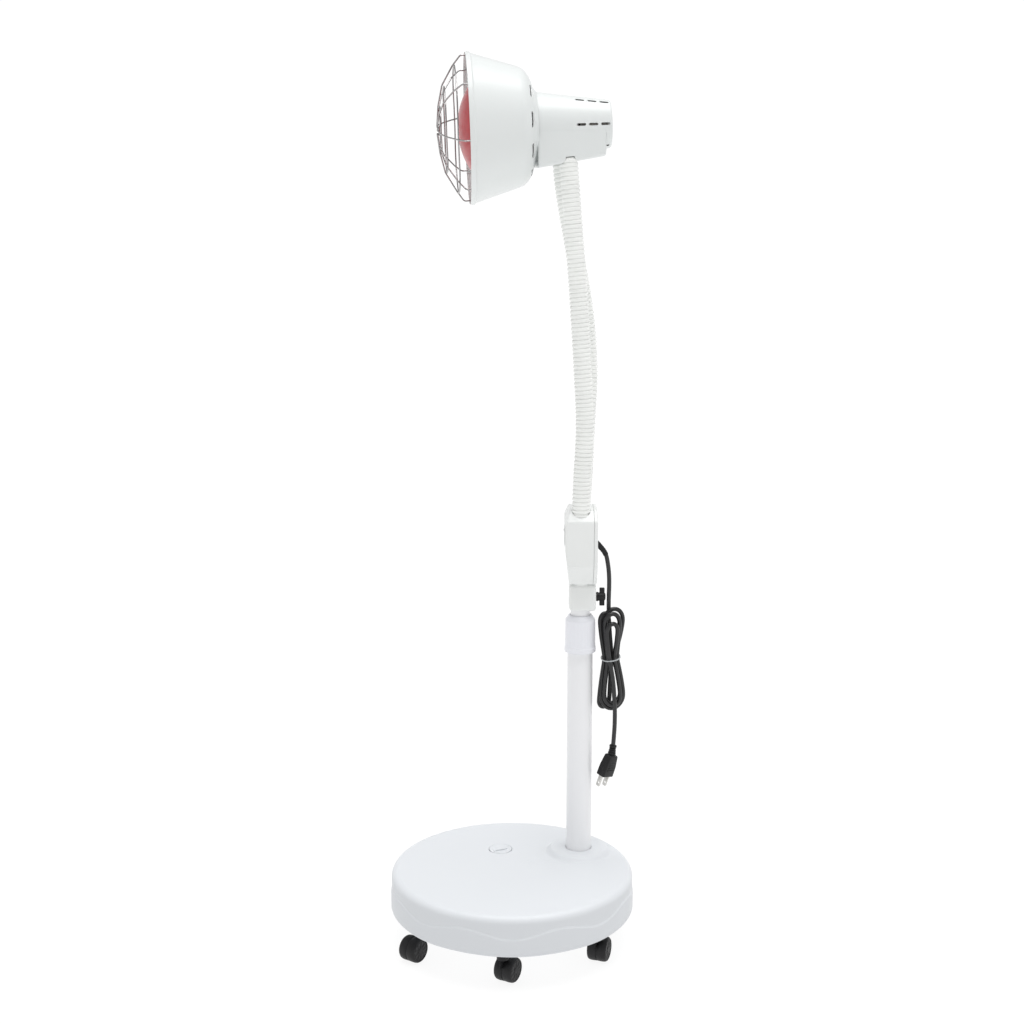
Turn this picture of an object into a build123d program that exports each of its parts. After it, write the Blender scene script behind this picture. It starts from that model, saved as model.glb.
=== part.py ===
"""Infrared lamp on a wheeled floor stand, with a twin gooseneck. Millimetres, +Z up.

The origin is on the floor under the centre of the round base. The lamp points towards -X,
the cord hangs on the +X side, and the pole stands behind and right of the base's centre.
"""

from build123d import *
import math
import os

os.makedirs("parts", exist_ok=True)

# --- driving dimensions ---------------------------------------------------------------------
BASE_R = 153.0
BASE_UPPER_R = 152.0
BASE_FOOT = 47.0
BASE_TOP = 97.0
BASE_LEDGE = 71.0
BASE_EDGE = 10.0
BASE_WALL = 3.2
FLOOR_LOW = 51.0
FLOOR_TOP = 54.0

POLE = (86.0, 51.0)
BOSS_R = 44.5
BOSS_FLAT_R = 29.0
BOSS_H = 5.0
POLE_R = 16.0
POLE_BORE = 14.4
POLE_FOOT = 54.2
POLE_TOP = 365.0
INNER_R = 12.0
INNER_BORE = 10.6
INNER_FOOT = 110.0
INNER_TOP = 450.0
COLLAR_LOW = 365.6
COLLAR_TOP = 413.0
COLLAR_R = 19.2

CAP_AT = (-15.0, 56.0)
CAP_R = 14.5
CAP_NECK_R = 11.6

CASTORS = 6
CASTOR_RING = 127.0
CASTOR_FIRST = -155.0
CASTOR_SWIVELS = (-126.0, 60.0, 70.0, -118.0, -112.0, -106.0)
WHEEL_R = 15.5
WHEEL_HALF = 12.25
WHEEL_GAP = 2.0
TRAIL = 12.0
STEM_R = 4.0
AXLE_R = 2.48
RUNNING = 0.05

SOCKET_R = 15.5
SOCKET_LOW = 420.0
SOCKET_LEFT = 71.5
SOCKET_RIGHT = 104.9
SCREW_Z = 436.0
BOX_LEFT = 66.0
BOX_SEAM = 100.5
BOX_RIGHT = 105.5
BOX_TOP = 551.0
BOX_LOW = 455.0
BOX_HALF = 37.5
BOX_WALL = 2.4
SWITCH_Z = 515.0

HOSE_R = 11.3
HOSE_BORE = 8.0
HOSE_NEAR_Y = 30.0
HOSE_FAR_Y = 72.0
HOSE_LOW = 551.0
HOSE_HIGH = 969.0
HOSE_GAP = 4.4
HOSE_JOINTS = 6
# X of each hose at the box, at each bend joint going up, and at the lamp head.
NEAR_X = (85.0, 85.7, 88.6, 85.3, 80.8, 75.6, 69.8, 66.9)
FAR_X = (87.5, 89.7, 92.5, 94.6, 88.4, 76.0, 63.6, 60.0)

RIM = Vector(-53.0, 43.5, 1008.5)
HEAD_YAW = 3.6
HEAD_RISE = 2.0
LIP_R = 89.0
NECK_AT = 83.0
NECK_R = 39.5
TAIL_R = 27.7
BLOCK_DROP = 9.0
METAL = 1.2
SLOT_COUNT = 10
SLOT_R = 58.0
SLOT_TURN = 11.0
SLOT_LONG = 19.0
SLOT_WIDE = 3.2
BULB_R = 62.5
DOME_R = 90.0
DOME_APEX = -11.5
WIRE_R = 1.0
SPOKES = 8
SPOKE_TURN = -10.0

CORD_R = 2.8
CORD_Y = 51.0
GLAND_ANGLE = 48.0


# --- shared helpers ---------------------------------------------------------------------------
def save(piece, name):
    """Labels a finished piece and writes it to its own file."""
    piece.part.label = name
    export_step(piece.part, f"parts/{name}.step")


def inner_line(points, wall):
    """The same outline moved inwards by a wall, each point along its own normal."""
    moved = []
    for i, (along, radius) in enumerate(points):
        before = points[max(i - 1, 0)]
        after = points[min(i + 1, len(points) - 1)]
        run = math.hypot(after[0] - before[0], after[1] - before[1])
        slope = (after[1] - before[1]) / run
        lean = (after[0] - before[0]) / run
        moved.append((along + wall * slope, max(radius - wall * lean, 0.0)))
    return moved


def polar(radius, degrees):
    """A point in the floor plane."""
    turn = math.radians(degrees)
    return (radius * math.cos(turn), radius * math.sin(turn))


# --- base -------------------------------------------------------------------------------------
pillars = [polar(136.0, CASTOR_FIRST + 30.0 + 60.0 * k) for k in range(CASTORS)]
stems = [polar(CASTOR_RING, CASTOR_FIRST + 60.0 * k) for k in range(CASTORS)]
inside_r = BASE_UPPER_R - BASE_WALL

with BuildPart() as base_shell:
    with BuildSketch(Plane.XZ):
        with BuildLine():
            Polyline(
                (0, BASE_TOP),
                (BASE_UPPER_R, BASE_TOP),
                (BASE_UPPER_R, BASE_LEDGE),
                (BASE_R, BASE_LEDGE - 1.5),
                (BASE_R, BASE_FOOT),
                (inside_r, BASE_FOOT),
                (inside_r, BASE_TOP - BASE_EDGE),
                (inside_r - BASE_EDGE * 0.7, BASE_TOP - BASE_WALL),
                (0, BASE_TOP - BASE_WALL),
                close=True,
            )
        make_face()
    revolve(axis=Axis.Z)
    rim = base_shell.edges().filter_by(GeomType.CIRCLE).group_by(Axis.Z)
    fillet(rim[-1], BASE_EDGE)
    foot = base_shell.edges().filter_by(GeomType.CIRCLE).group_by(Axis.Z)[0].sort_by(SortBy.RADIUS)[-1]
    fillet(foot, 2.0)
    with BuildSketch(Plane.XZ.offset(-POLE[1])):
        with BuildLine():
            Polyline(
                (POLE[0], BASE_TOP - 1.5),
                (POLE[0] + BOSS_R, BASE_TOP - 1.5),
                (POLE[0] + BOSS_R, BASE_TOP - 1.0),
                (POLE[0] + BOSS_FLAT_R, BASE_TOP + BOSS_H),
                (POLE[0], BASE_TOP + BOSS_H),
                close=True,
            )
        make_face()
    revolve(axis=Axis((POLE[0], POLE[1], 0), (0, 0, 1)))
    fillet(base_shell.edges().filter_by(GeomType.CIRCLE).group_by(Axis.Z)[-1], 6.0)
    with BuildSketch(Plane.XY.offset(FLOOR_TOP + 0.3)):
        with Locations(POLE):
            Circle(POLE_R + 4.6)
        with Locations(*pillars):
            Circle(5.5)
    extrude(amount=BASE_TOP - BASE_WALL + 1.0 - FLOOR_TOP)
    with BuildSketch(Plane.XY.offset(BASE_TOP - 11.0)):
        with Locations(CAP_AT):
            Circle(CAP_R + 3.3)
    extrude(amount=8.0)
    with BuildSketch(Plane.XY.offset(FLOOR_TOP)):
        with Locations(POLE):
            Circle(POLE_R + 0.4)
        with Locations(CAP_AT):
            Circle(CAP_NECK_R + 0.3)
    extrude(amount=BASE_TOP + BOSS_H, mode=Mode.SUBTRACT)
    with BuildSketch(Plane.XY.offset(BASE_TOP - 4.5)):
        with Locations(CAP_AT):
            Circle(CAP_R + 0.5)
    extrude(amount=10.0, mode=Mode.SUBTRACT)
    with BuildSketch(Plane.XY.offset(FLOOR_TOP)):
        with Locations(*pillars):
            Circle(1.95)
    extrude(amount=15.0, mode=Mode.SUBTRACT)
save(base_shell, "base_shell")

with BuildPart() as base_floor:
    with BuildSketch(Plane.XY.offset(FLOOR_LOW)):
        Circle(inside_r - 0.4)
    extrude(amount=FLOOR_TOP - FLOOR_LOW)
    with BuildSketch(Plane.XY.offset(FLOOR_TOP - 1.0)):
        with Locations(*stems):
            Circle(STEM_R + 4.0)
    extrude(amount=20.0)
    with BuildSketch(Plane.XY.offset(FLOOR_LOW)):
        with Locations(*stems):
            Circle(STEM_R + RUNNING)
    extrude(amount=20.0, mode=Mode.SUBTRACT)
    with BuildSketch(Plane.XY.offset(FLOOR_LOW)):
        with Locations(*pillars):
            Circle(2.1)
        with Locations(POLE):
            Circle(3.3)
    extrude(amount=5.0, mode=Mode.SUBTRACT)
save(base_floor, "base_floor")

with BuildPart() as ballast:
    with BuildSketch(Plane.XY.offset(FLOOR_TOP + 0.3)):
        Circle(CASTOR_RING - 10.0)
        with Locations(POLE):
            Circle(POLE_R + 6.4, mode=Mode.SUBTRACT)
    extrude(amount=30.0)
    fillet(ballast.edges().group_by(Axis.Z)[-1].filter_by(GeomType.CIRCLE).sort_by(Axis.X)[0], 4.0)
save(ballast, "ballast")

with BuildPart() as base_screws:
    with BuildSketch(Plane.XY.offset(FLOOR_LOW - 2.0)):
        with Locations(*pillars):
            Circle(3.6)
    extrude(amount=2.0)
    with BuildSketch(Plane.XY.offset(FLOOR_LOW)):
        with Locations(*pillars):
            Circle(1.9)
    extrude(amount=16.0)
save(base_screws, "base_screws")

with BuildPart() as fill_cap:
    with BuildSketch(Plane.XY.offset(BASE_TOP - 3.0)):
        with Locations(CAP_AT):
            Circle(CAP_R)
    extrude(amount=3.2)
    with BuildSketch(Plane.XY.offset(BASE_TOP - 10.0)):
        with Locations(CAP_AT):
            Circle(CAP_NECK_R)
            Circle(CAP_NECK_R - 2.0, mode=Mode.SUBTRACT)
    extrude(amount=8.0)
    with BuildSketch(Plane.XY.offset(BASE_TOP + 0.2)):
        with Locations(CAP_AT):
            Circle(CAP_R - 3.0)
            Rectangle(CAP_R * 1.3, 3.0, mode=Mode.SUBTRACT)
    extrude(amount=-1.4, mode=Mode.SUBTRACT)
save(fill_cap, "fill_cap")

with BuildPart() as cap_seal:
    with BuildSketch(Plane.XY.offset(BASE_TOP - 4.45)):
        with Locations(CAP_AT):
            Circle(CAP_R)
            Circle(CAP_NECK_R + 0.2, mode=Mode.SUBTRACT)
    extrude(amount=1.4)
save(cap_seal, "cap_seal")

# --- castors ----------------------------------------------------------------------------------
with BuildPart() as castor_stems:
    with BuildSketch(Plane.XY.offset(35.0)):
        with Locations(*stems):
            Circle(STEM_R)
    extrude(amount=FLOOR_TOP + 16.0 - 35.0)
save(castor_stems, "castor_stems")

for k in range(CASTORS):
    swivel = math.radians(CASTOR_SWIVELS[k])
    trail_dir = Vector(math.cos(swivel), math.sin(swivel), 0)
    axle_dir = Vector(-math.sin(swivel), math.cos(swivel), 0)
    hub = Vector(stems[k][0], stems[k][1], WHEEL_R) + trail_dir * TRAIL
    # Local x runs along the trail and local y points up, seen along the axle.
    side_view = Plane(origin=hub, x_dir=trail_dir, z_dir=-axle_dir)
    with BuildPart() as hood:
        with BuildSketch(side_view):
            Circle(WHEEL_R + 0.1)
            with Locations((0, -WHEEL_R)):
                Rectangle(3 * WHEEL_R, 2 * WHEEL_R, mode=Mode.SUBTRACT)
            Circle(WHEEL_R - 2.5)
            Circle(AXLE_R + RUNNING, mode=Mode.SUBTRACT)
        extrude(amount=WHEEL_GAP - 0.25, both=True)
        with BuildSketch(Plane.XY.offset(33.0)):
            with Locations(stems[k]):
                Circle(7.5)
        extrude(amount=13.5)
        with BuildSketch(side_view):
            with Locations((-TRAIL + 1.0, 13.0)):
                Rectangle(12.0, 12.0)
        extrude(amount=WHEEL_GAP - 0.25, both=True)
        with BuildSketch(Plane.XY.offset(34.6)):
            with Locations(stems[k]):
                Circle(STEM_R + RUNNING)
        extrude(amount=20.0, mode=Mode.SUBTRACT)
    save(hood, f"castor_{k + 1}_hood")

    with BuildPart() as wheels:
        for side in (1, -1):
            with BuildSketch(Plane(origin=hub, x_dir=axle_dir * side, z_dir=trail_dir)):
                with BuildLine():
                    Polyline(
                        (WHEEL_GAP, AXLE_R + 0.02),
                        (WHEEL_GAP, WHEEL_R - 0.3),
                        (WHEEL_GAP + 1.0, WHEEL_R),
                        (9.6, WHEEL_R),
                        (11.2, WHEEL_R - 0.7),
                        (12.0, WHEEL_R - 2.4),
                        (11.3, WHEEL_R - 3.0),
                        (11.3, WHEEL_R - 3.8),
                        (WHEEL_HALF, WHEEL_R - 4.6),
                        (WHEEL_HALF, 0),
                        (10.0, 0),
                        (10.0, AXLE_R + 0.02),
                        close=True,
                    )
                make_face()
            revolve(axis=Axis(hub, axle_dir))
        with BuildSketch(side_view):
            Circle(AXLE_R)
        extrude(amount=9.8, both=True)
    save(wheels, f"castor_{k + 1}_wheels")

# --- pole -------------------------------------------------------------------------------------
with BuildPart() as outer_pole:
    with BuildSketch(Plane.XY.offset(POLE_FOOT)):
        with Locations(POLE):
            Circle(POLE_R)
            Circle(POLE_BORE, mode=Mode.SUBTRACT)
    extrude(amount=POLE_TOP - POLE_FOOT)
save(outer_pole, "outer_pole")

with BuildPart() as pole_plug:
    with BuildSketch(Plane.XY.offset(POLE_FOOT)):
        with Locations(POLE):
            Circle(POLE_BORE - 0.1)
            Circle(3.05, mode=Mode.SUBTRACT)
    extrude(amount=16.0)
save(pole_plug, "pole_plug")

with BuildPart() as pole_bolt:
    with BuildSketch(Plane.XY.offset(FLOOR_LOW - 3.9)):
        with Locations(POLE):
            RegularPolygon(5.6, 6)
    extrude(amount=3.9)
    with BuildSketch(Plane.XY.offset(FLOOR_LOW)):
        with Locations(POLE):
            Circle(3.0)
    extrude(amount=17.0)
save(pole_bolt, "pole_bolt")

with BuildPart() as pole_collet:
    with BuildSketch(Plane.XY.offset(POLE_TOP - 25.0)):
        with Locations(POLE):
            Circle(POLE_BORE - 0.1)
            Circle(INNER_R + RUNNING, mode=Mode.SUBTRACT)
    extrude(amount=25.3)
    with BuildSketch(Plane.XY.offset(POLE_TOP + 0.3)):
        with Locations(POLE):
            Circle(POLE_R)
            Circle(INNER_R + RUNNING, mode=Mode.SUBTRACT)
    extrude(amount=16.0)
save(pole_collet, "pole_collet")

with BuildPart() as lock_collar:
    with BuildSketch(Plane.XZ.offset(-POLE[1])):
        with BuildLine():
            Polyline(
                (POLE[0] + POLE_R + 0.4, COLLAR_LOW),
                (POLE[0] + COLLAR_R + 0.6, COLLAR_LOW),
                (POLE[0] + COLLAR_R + 0.6, COLLAR_LOW + 6.0),
                (POLE[0] + COLLAR_R, COLLAR_LOW + 7.0),
                (POLE[0] + COLLAR_R - 0.4, COLLAR_TOP - 6.0),
                (POLE[0] + COLLAR_R - 4.4, COLLAR_TOP),
                (POLE[0] + INNER_R + 0.35, COLLAR_TOP),
                (POLE[0] + INNER_R + 0.35, COLLAR_LOW + 18.0),
                (POLE[0] + POLE_R + 0.4, COLLAR_LOW + 18.0),
                close=True,
            )
        make_face()
    revolve(axis=Axis((POLE[0], POLE[1], 0), (0, 0, 1)))
    with BuildSketch(Plane.XY.offset(COLLAR_LOW + 7.5)):
        with Locations(POLE):
            with PolarLocations(COLLAR_R + 0.5, 24):
                Circle(1.2)
    extrude(amount=32.0, mode=Mode.SUBTRACT)
save(lock_collar, "lock_collar")

with BuildPart() as inner_pole:
    with BuildSketch(Plane.XY.offset(INNER_FOOT)):
        with Locations(POLE):
            Circle(INNER_R)
            Circle(INNER_BORE, mode=Mode.SUBTRACT)
    extrude(amount=INNER_TOP - INNER_FOOT)
save(inner_pole, "inner_pole")

with BuildPart() as pole_bush:
    with BuildSketch(Plane.XY.offset(INNER_FOOT - 6.0)):
        with Locations(POLE):
            Circle(POLE_BORE - RUNNING)
            Circle(INNER_BORE - 2.0, mode=Mode.SUBTRACT)
    extrude(amount=5.8)
    with BuildSketch(Plane.XY.offset(INNER_FOOT - 0.2)):
        with Locations(POLE):
            Circle(INNER_BORE - 0.1)
            Circle(INNER_BORE - 2.0, mode=Mode.SUBTRACT)
    extrude(amount=14.0)
save(pole_bush, "pole_bush")

# --- control box ------------------------------------------------------------------------------
box_mid = POLE[1]
box_outline = [
    (box_mid - BOX_HALF, 483.0),
    (box_mid - BOX_HALF, BOX_TOP - 11.5),
    (box_mid - 21.0, BOX_TOP),
    (box_mid + 21.0, BOX_TOP),
    (box_mid + BOX_HALF, BOX_TOP - 11.5),
    (box_mid + BOX_HALF, 483.0),
    (box_mid + 16.0, BOX_LOW),
    (box_mid - 16.0, BOX_LOW),
]
cover_screws = [(box_mid + side * 30.0, height) for side in (-1, 1) for height in (492.0, 530.0)]

with BuildPart() as box_shell:
    with BuildSketch(Plane.YZ.offset(BOX_LEFT)):
        with BuildLine():
            Polyline(*box_outline, close=True)
        make_face()
        fillet(vertices(), 4.0)
    extrude(amount=BOX_SEAM - BOX_LEFT)
    with BuildSketch(Plane.XZ.offset(-box_mid)):
        with BuildLine():
            Polyline(
                (BOX_LEFT + 4.5, BOX_TOP),
                (BOX_LEFT, BOX_TOP - 15.0),
                (BOX_LEFT, 500.0),
                (BOX_LEFT + 5.0, BOX_LOW),
                (BOX_SEAM, BOX_LOW),
                (BOX_SEAM, BOX_TOP),
                close=True,
            )
        make_face()
    extrude(amount=BOX_HALF + 5.0, both=True, mode=Mode.INTERSECT)
    # The socket: a rounded block under the shell and its cover, with a round core up into the shell.
    with BuildSketch(Plane.XY.offset(SOCKET_LOW)):
        with Locations(((SOCKET_LEFT + SOCKET_RIGHT) / 2, POLE[1])):
            RectangleRounded(SOCKET_RIGHT - SOCKET_LEFT, 2 * SOCKET_R, 7.0)
    extrude(amount=BOX_LOW - 0.4 - SOCKET_LOW)
    fillet(box_shell.edges().group_by(Axis.Z)[0], 4.0)
    with BuildSketch(Plane.XY.offset(SOCKET_LOW + 10.0)):
        with Locations(POLE):
            Circle(SOCKET_R - 1.0)
    extrude(amount=32.0)
    # The hollow inside, open on the cover's side.
    with BuildSketch(Plane.YZ.offset(BOX_LEFT + 6.5)):
        with Locations((box_mid, 512.0)):
            RectangleRounded(2 * (BOX_HALF - BOX_WALL), 54.0, 5.0)
    extrude(amount=50.0, mode=Mode.SUBTRACT)
    with BuildSketch(Plane.XY.offset(SOCKET_LOW)):
        with Locations(POLE):
            Circle(INNER_R + RUNNING)
    extrude(amount=INNER_TOP + 1.5 - SOCKET_LOW, mode=Mode.SUBTRACT)
    with BuildSketch(Plane.YZ.offset(POLE[0])):
        with Locations((POLE[1], SCREW_Z)):
            Circle(3.05)
    extrude(amount=30.0, mode=Mode.SUBTRACT)
    with BuildSketch(Plane.XY.offset(BOX_TOP - 20.0)):
        with Locations((NEAR_X[0], HOSE_NEAR_Y), (FAR_X[0], HOSE_FAR_Y)):
            Circle(HOSE_R + 0.8)
    extrude(amount=25.0, mode=Mode.SUBTRACT)
    with BuildSketch(Plane.YZ.offset(BOX_LEFT - 5.0)):
        with Locations((box_mid, SWITCH_Z)):
            Rectangle(14.0, 21.0)
    extrude(amount=15.0, mode=Mode.SUBTRACT)
save(box_shell, "box_shell")

with BuildPart() as box_cover:
    with BuildSketch(Plane.YZ.offset(BOX_SEAM + 0.3)):
        with BuildLine():
            Polyline(*box_outline, close=True)
        make_face()
        fillet(vertices(), 4.0)
    extrude(amount=BOX_RIGHT - BOX_SEAM - 0.3)
    chamfer(box_cover.faces().sort_by(Axis.X)[-1].edges(), 1.5)
    with BuildSketch(Plane.YZ.offset(BOX_SEAM)):
        with Locations((CORD_Y, 505.3)):
            Circle(5.2)
        with Locations(*cover_screws):
            Circle(1.8)
    extrude(amount=8.0, mode=Mode.SUBTRACT)
    with BuildSketch(Plane.YZ.offset(BOX_RIGHT - 2.0)):
        with Locations(*cover_screws):
            Circle(3.3)
    extrude(amount=4.0, mode=Mode.SUBTRACT)
save(box_cover, "box_cover")

with BuildPart() as box_screws:
    with BuildSketch(Plane.YZ.offset(BOX_RIGHT - 1.95)):
        with Locations(*cover_screws):
            Circle(3.0)
    extrude(amount=1.6)
    with BuildSketch(Plane.YZ.offset(BOX_SEAM - 9.0)):
        with Locations(*cover_screws):
            Circle(1.5)
    extrude(amount=BOX_RIGHT - 1.95 - BOX_SEAM + 9.0)
save(box_screws, "box_screws")

with BuildPart() as switch_body:
    with BuildSketch(Plane.YZ.offset(BOX_LEFT - 1.0)):
        with Locations((box_mid, SWITCH_Z)):
            Rectangle(16.0, 23.0)
            Rectangle(9.4, 16.4, mode=Mode.SUBTRACT)
    extrude(amount=0.9)
    with BuildSketch(Plane.YZ.offset(BOX_LEFT - 0.2)):
        with Locations((box_mid, SWITCH_Z)):
            Rectangle(13.6, 20.6)
            Rectangle(9.4, 16.4, mode=Mode.SUBTRACT)
    extrude(amount=14.0)
    with BuildSketch(Plane.YZ.offset(BOX_LEFT + 9.8)):
        with Locations((box_mid, SWITCH_Z)):
            Rectangle(13.6, 20.6)
    extrude(amount=4.0)
save(switch_body, "switch_body")

with BuildPart() as switch_rocker:
    with BuildSketch(Plane.XZ.offset(-box_mid)):
        with BuildLine():
            Polyline(
                (BOX_LEFT - 0.6, SWITCH_Z - 7.0),
                (BOX_LEFT + 0.6, SWITCH_Z),
                (BOX_LEFT - 2.2, SWITCH_Z + 7.0),
                (BOX_LEFT + 3.0, SWITCH_Z + 6.6),
                (BOX_LEFT + 6.5, SWITCH_Z),
                (BOX_LEFT + 3.0, SWITCH_Z - 6.6),
                close=True,
            )
        make_face()
    extrude(amount=4.4, both=True)
save(switch_rocker, "switch_rocker")

with BuildPart() as thumb_stud:
    with BuildSketch(Plane.YZ.offset(POLE[0] + INNER_R + 0.3)):
        with Locations((POLE[1], SCREW_Z)):
            Circle(3.0)
    extrude(amount=12.0)
save(thumb_stud, "thumb_stud")

with BuildPart() as thumb_knob:
    with BuildSketch(Plane.YZ.offset(BOX_RIGHT + 0.3)):
        with Locations((POLE[1], SCREW_Z)):
            Circle(6.0)
            Circle(3.0, mode=Mode.SUBTRACT)
    extrude(amount=4.8)
    with BuildSketch(Plane.YZ.offset(BOX_RIGHT + 5.1)):
        with Locations((POLE[1], SCREW_Z)):
            Circle(6.0)
    extrude(amount=4.4)
    with BuildSketch(Plane.YZ.offset(BOX_RIGHT + 5.9)):
        with Locations((POLE[1], SCREW_Z)):
            SlotOverall(23.0, 6.0, rotation=90)
    extrude(amount=5.4)
save(thumb_knob, "thumb_knob")

# --- twin gooseneck ----------------------------------------------------------------------------
hose_step = (HOSE_HIGH - HOSE_LOW) / HOSE_JOINTS
levels = [HOSE_LOW] + [HOSE_LOW + (k + 0.5) * hose_step for k in range(HOSE_JOINTS)] + [HOSE_HIGH]
near_line = [Vector(x, HOSE_NEAR_Y, z) for x, z in zip(NEAR_X, levels)]
far_line = [Vector(x, HOSE_FAR_Y, z) for x, z in zip(FAR_X, levels)]


half_gap = HOSE_GAP / 2
for k in range(HOSE_JOINTS + 1):
    cut_start = -10.0 if k == 0 else half_gap
    cut_end = -8.0 if k == HOSE_JOINTS else half_gap
    with BuildPart() as hoses:
        for line in (near_line, far_line):
            along = (line[k + 1] - line[k]).normalized()
            length = (line[k + 1] - line[k]).length - cut_start - cut_end
            with BuildSketch(Plane(origin=line[k] + along * cut_start, z_dir=along)):
                Circle(HOSE_R)
                Circle(HOSE_BORE, mode=Mode.SUBTRACT)
            extrude(amount=length)
    save(hoses, f"hoses_{k + 1}")
for k in range(1, HOSE_JOINTS + 1):
    middle = (near_line[k] + far_line[k]) * 0.5
    print(f"neck joint {k}: X {middle.X:.2f} Y {middle.Y:.2f} Z {middle.Z:.2f}")

# --- lamp head ---------------------------------------------------------------------------------
yaw = math.radians(HEAD_YAW)
rise = math.radians(HEAD_RISE)
back = Vector(math.cos(yaw) * math.cos(rise), math.sin(yaw) * math.cos(rise), math.sin(rise))
side = Vector(math.sin(yaw), -math.cos(yaw), 0)
up = side.cross(back)
# In the side profile, local x is the distance behind the rim and local y the radius upwards.
profile = Plane(origin=RIM, x_dir=back, z_dir=side)
head_axis = Axis(RIM, back)


def across(behind):
    """The plane square to the head's axis, local x up and local y to the near side."""
    return Plane(origin=RIM + back * behind, x_dir=up, z_dir=back)


def radial(degrees):
    """The direction out from the head's axis, 0 to the near side and 90 up."""
    turn = math.radians(degrees)
    return side * math.cos(turn) + up * math.sin(turn)


shade_outline = [
    (0, LIP_R),
    (5.5, LIP_R - 0.4),
    (6.6, LIP_R - 2.0),
    (62, 70),
    (67.5, 66.6),
    (71.3, 62.2),
    (75, 55.6),
    (78.4, 46.5),
    (81.5, NECK_R + 2.4),
]
with BuildPart() as shade:
    with BuildSketch(profile):
        with BuildLine():
            Polyline(*shade_outline, *reversed(inner_line(shade_outline, METAL)), close=True)
        make_face()
    revolve(axis=head_axis)
    with BuildSketch(across(62.0)):
        with PolarLocations(SLOT_R, SLOT_COUNT, start_angle=SLOT_TURN):
            Rectangle(SLOT_WIDE, SLOT_LONG)
    extrude(amount=20.0, mode=Mode.SUBTRACT)
save(shade, "shade")

housing_outline = [
    (78, NECK_R + 0.6),
    (84, NECK_R + 0.6),
    (89, NECK_R - 1.6),
    (168, TAIL_R + 0.3),
    (170, TAIL_R - 1.0),
]
with BuildPart() as rear_housing:
    with BuildSketch(profile):
        with BuildLine():
            Polyline(*housing_outline, *reversed(inner_line(housing_outline, METAL)), close=True)
        make_face()
    revolve(axis=head_axis)
    for turn in range(0, 360, 60):
        for n in range(3):
            behind = NECK_AT + 49.5 + 14.5 * n
            with BuildSketch(Plane(origin=RIM + back * behind, x_dir=back, z_dir=radial(turn))):
                SlotOverall(11.0, 2.7)
            extrude(amount=50.0, mode=Mode.SUBTRACT)
save(rear_housing, "rear_housing")

with BuildPart() as end_cap:
    with BuildSketch(across(165.0)):
        Circle(TAIL_R - METAL - 0.2)
    extrude(amount=2.0)
    with BuildSketch(across(165.0)):
        with PolarLocations(14.0, 6):
            Circle(2.0)
    extrude(amount=3.0, mode=Mode.SUBTRACT)
save(end_cap, "end_cap")

cone_slope = (NECK_R - 1.6 - TAIL_R) / (168.0 - 89.0)
with BuildPart() as mount_block:
    with BuildSketch(profile):
        with BuildLine():
            Polyline(
                (87.0, -12.0),
                (87.0, -(NECK_R - 1.6 + BLOCK_DROP + 2.0 * cone_slope)),
                (163.0, -(NECK_R - 1.6 + BLOCK_DROP - 74.0 * cone_slope)),
                (163.0, -12.0),
                close=True,
            )
        make_face()
    extrude(amount=34.0, both=True)
    fillet(mount_block.edges().filter_by(Axis(RIM, up)), 8.0)
    with BuildSketch(profile):
        with BuildLine():
            Polyline(
                (84.0, 0),
                (84.0, NECK_R + 1.0),
                (89.0, NECK_R - 1.5),
                (168.0, TAIL_R + 0.4),
                (168.0, 0),
                close=True,
            )
        make_face()
    revolve(axis=head_axis, mode=Mode.SUBTRACT)
    for line in (near_line, far_line):
        along = (line[-1] - line[-2]).normalized()
        with BuildSketch(Plane(origin=line[-1] - along * 6.0, z_dir=along)):
            Circle(HOSE_R + 0.15)
        extrude(amount=14.2, mode=Mode.SUBTRACT)
save(mount_block, "mount_block")

with BuildPart() as lamp_holder:
    with BuildSketch(profile):
        with BuildLine():
            Polyline(
                (134.5, 14.0),
                (134.5, 19.0),
                (138, 21.5),
                (156, 21.5),
                (160, 17.0),
                (164.8, 17.0),
                (164.8, 0),
                (161.8, 0),
                (161.8, 14.0),
                close=True,
            )
        make_face()
    revolve(axis=head_axis)
save(lamp_holder, "lamp_holder")

dome_centre = DOME_APEX + DOME_R
dome_half = math.degrees(math.asin(BULB_R / DOME_R))
dome_turns = [math.radians(dome_half * n / 8) for n in range(9)]
dome = [(dome_centre - DOME_R * math.cos(t), DOME_R * math.sin(t)) for t in dome_turns]
bulb_body = [(20, 62.3), (34, 58.5), (52, 51), (74, 40), (96, 29), (112, 22.5), (122, 19.5), (133, 14.5)]
bulb_outline = dome + bulb_body
with BuildPart() as bulb_glass:
    with BuildSketch(profile):
        with BuildLine():
            Polyline(*bulb_outline, *reversed(inner_line(bulb_outline, METAL)), close=True)
        make_face()
    revolve(axis=head_axis)
save(bulb_glass, "bulb_glass")

with BuildPart() as bulb_cap:
    with BuildSketch(profile):
        with BuildLine():
            Polyline((133.1, 0), (133.1, 13.2), (157.0, 13.2), (161.5, 5.0), (161.5, 0), close=True)
        make_face()
    revolve(axis=head_axis)
save(bulb_cap, "bulb_cap")

# The guard's bent wire: distance ahead of the rim and radius, from the lip's hook to the middle.
wire_bends = [(-2.0, 85.2), (5.0, 84.8), (14.7, 73.8), (27.7, 51.0), (33.5, 27.5), (35.5, 5.0)]


def ahead(distance):
    return RIM - back * distance


with BuildPart() as guard_spokes:
    for k in range(SPOKES):
        out = radial(SPOKE_TURN + 360.0 * k / SPOKES)
        bends = [ahead(a) + out * r for a, r in wire_bends]
        with BuildLine():
            spoke = FilletPolyline(*bends, radius=3.5)
        with BuildSketch(Plane(origin=bends[0], z_dir=bends[1] - bends[0])):
            Circle(WIRE_R)
        sweep(path=spoke)
save(guard_spokes, "guard_spokes")


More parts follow.
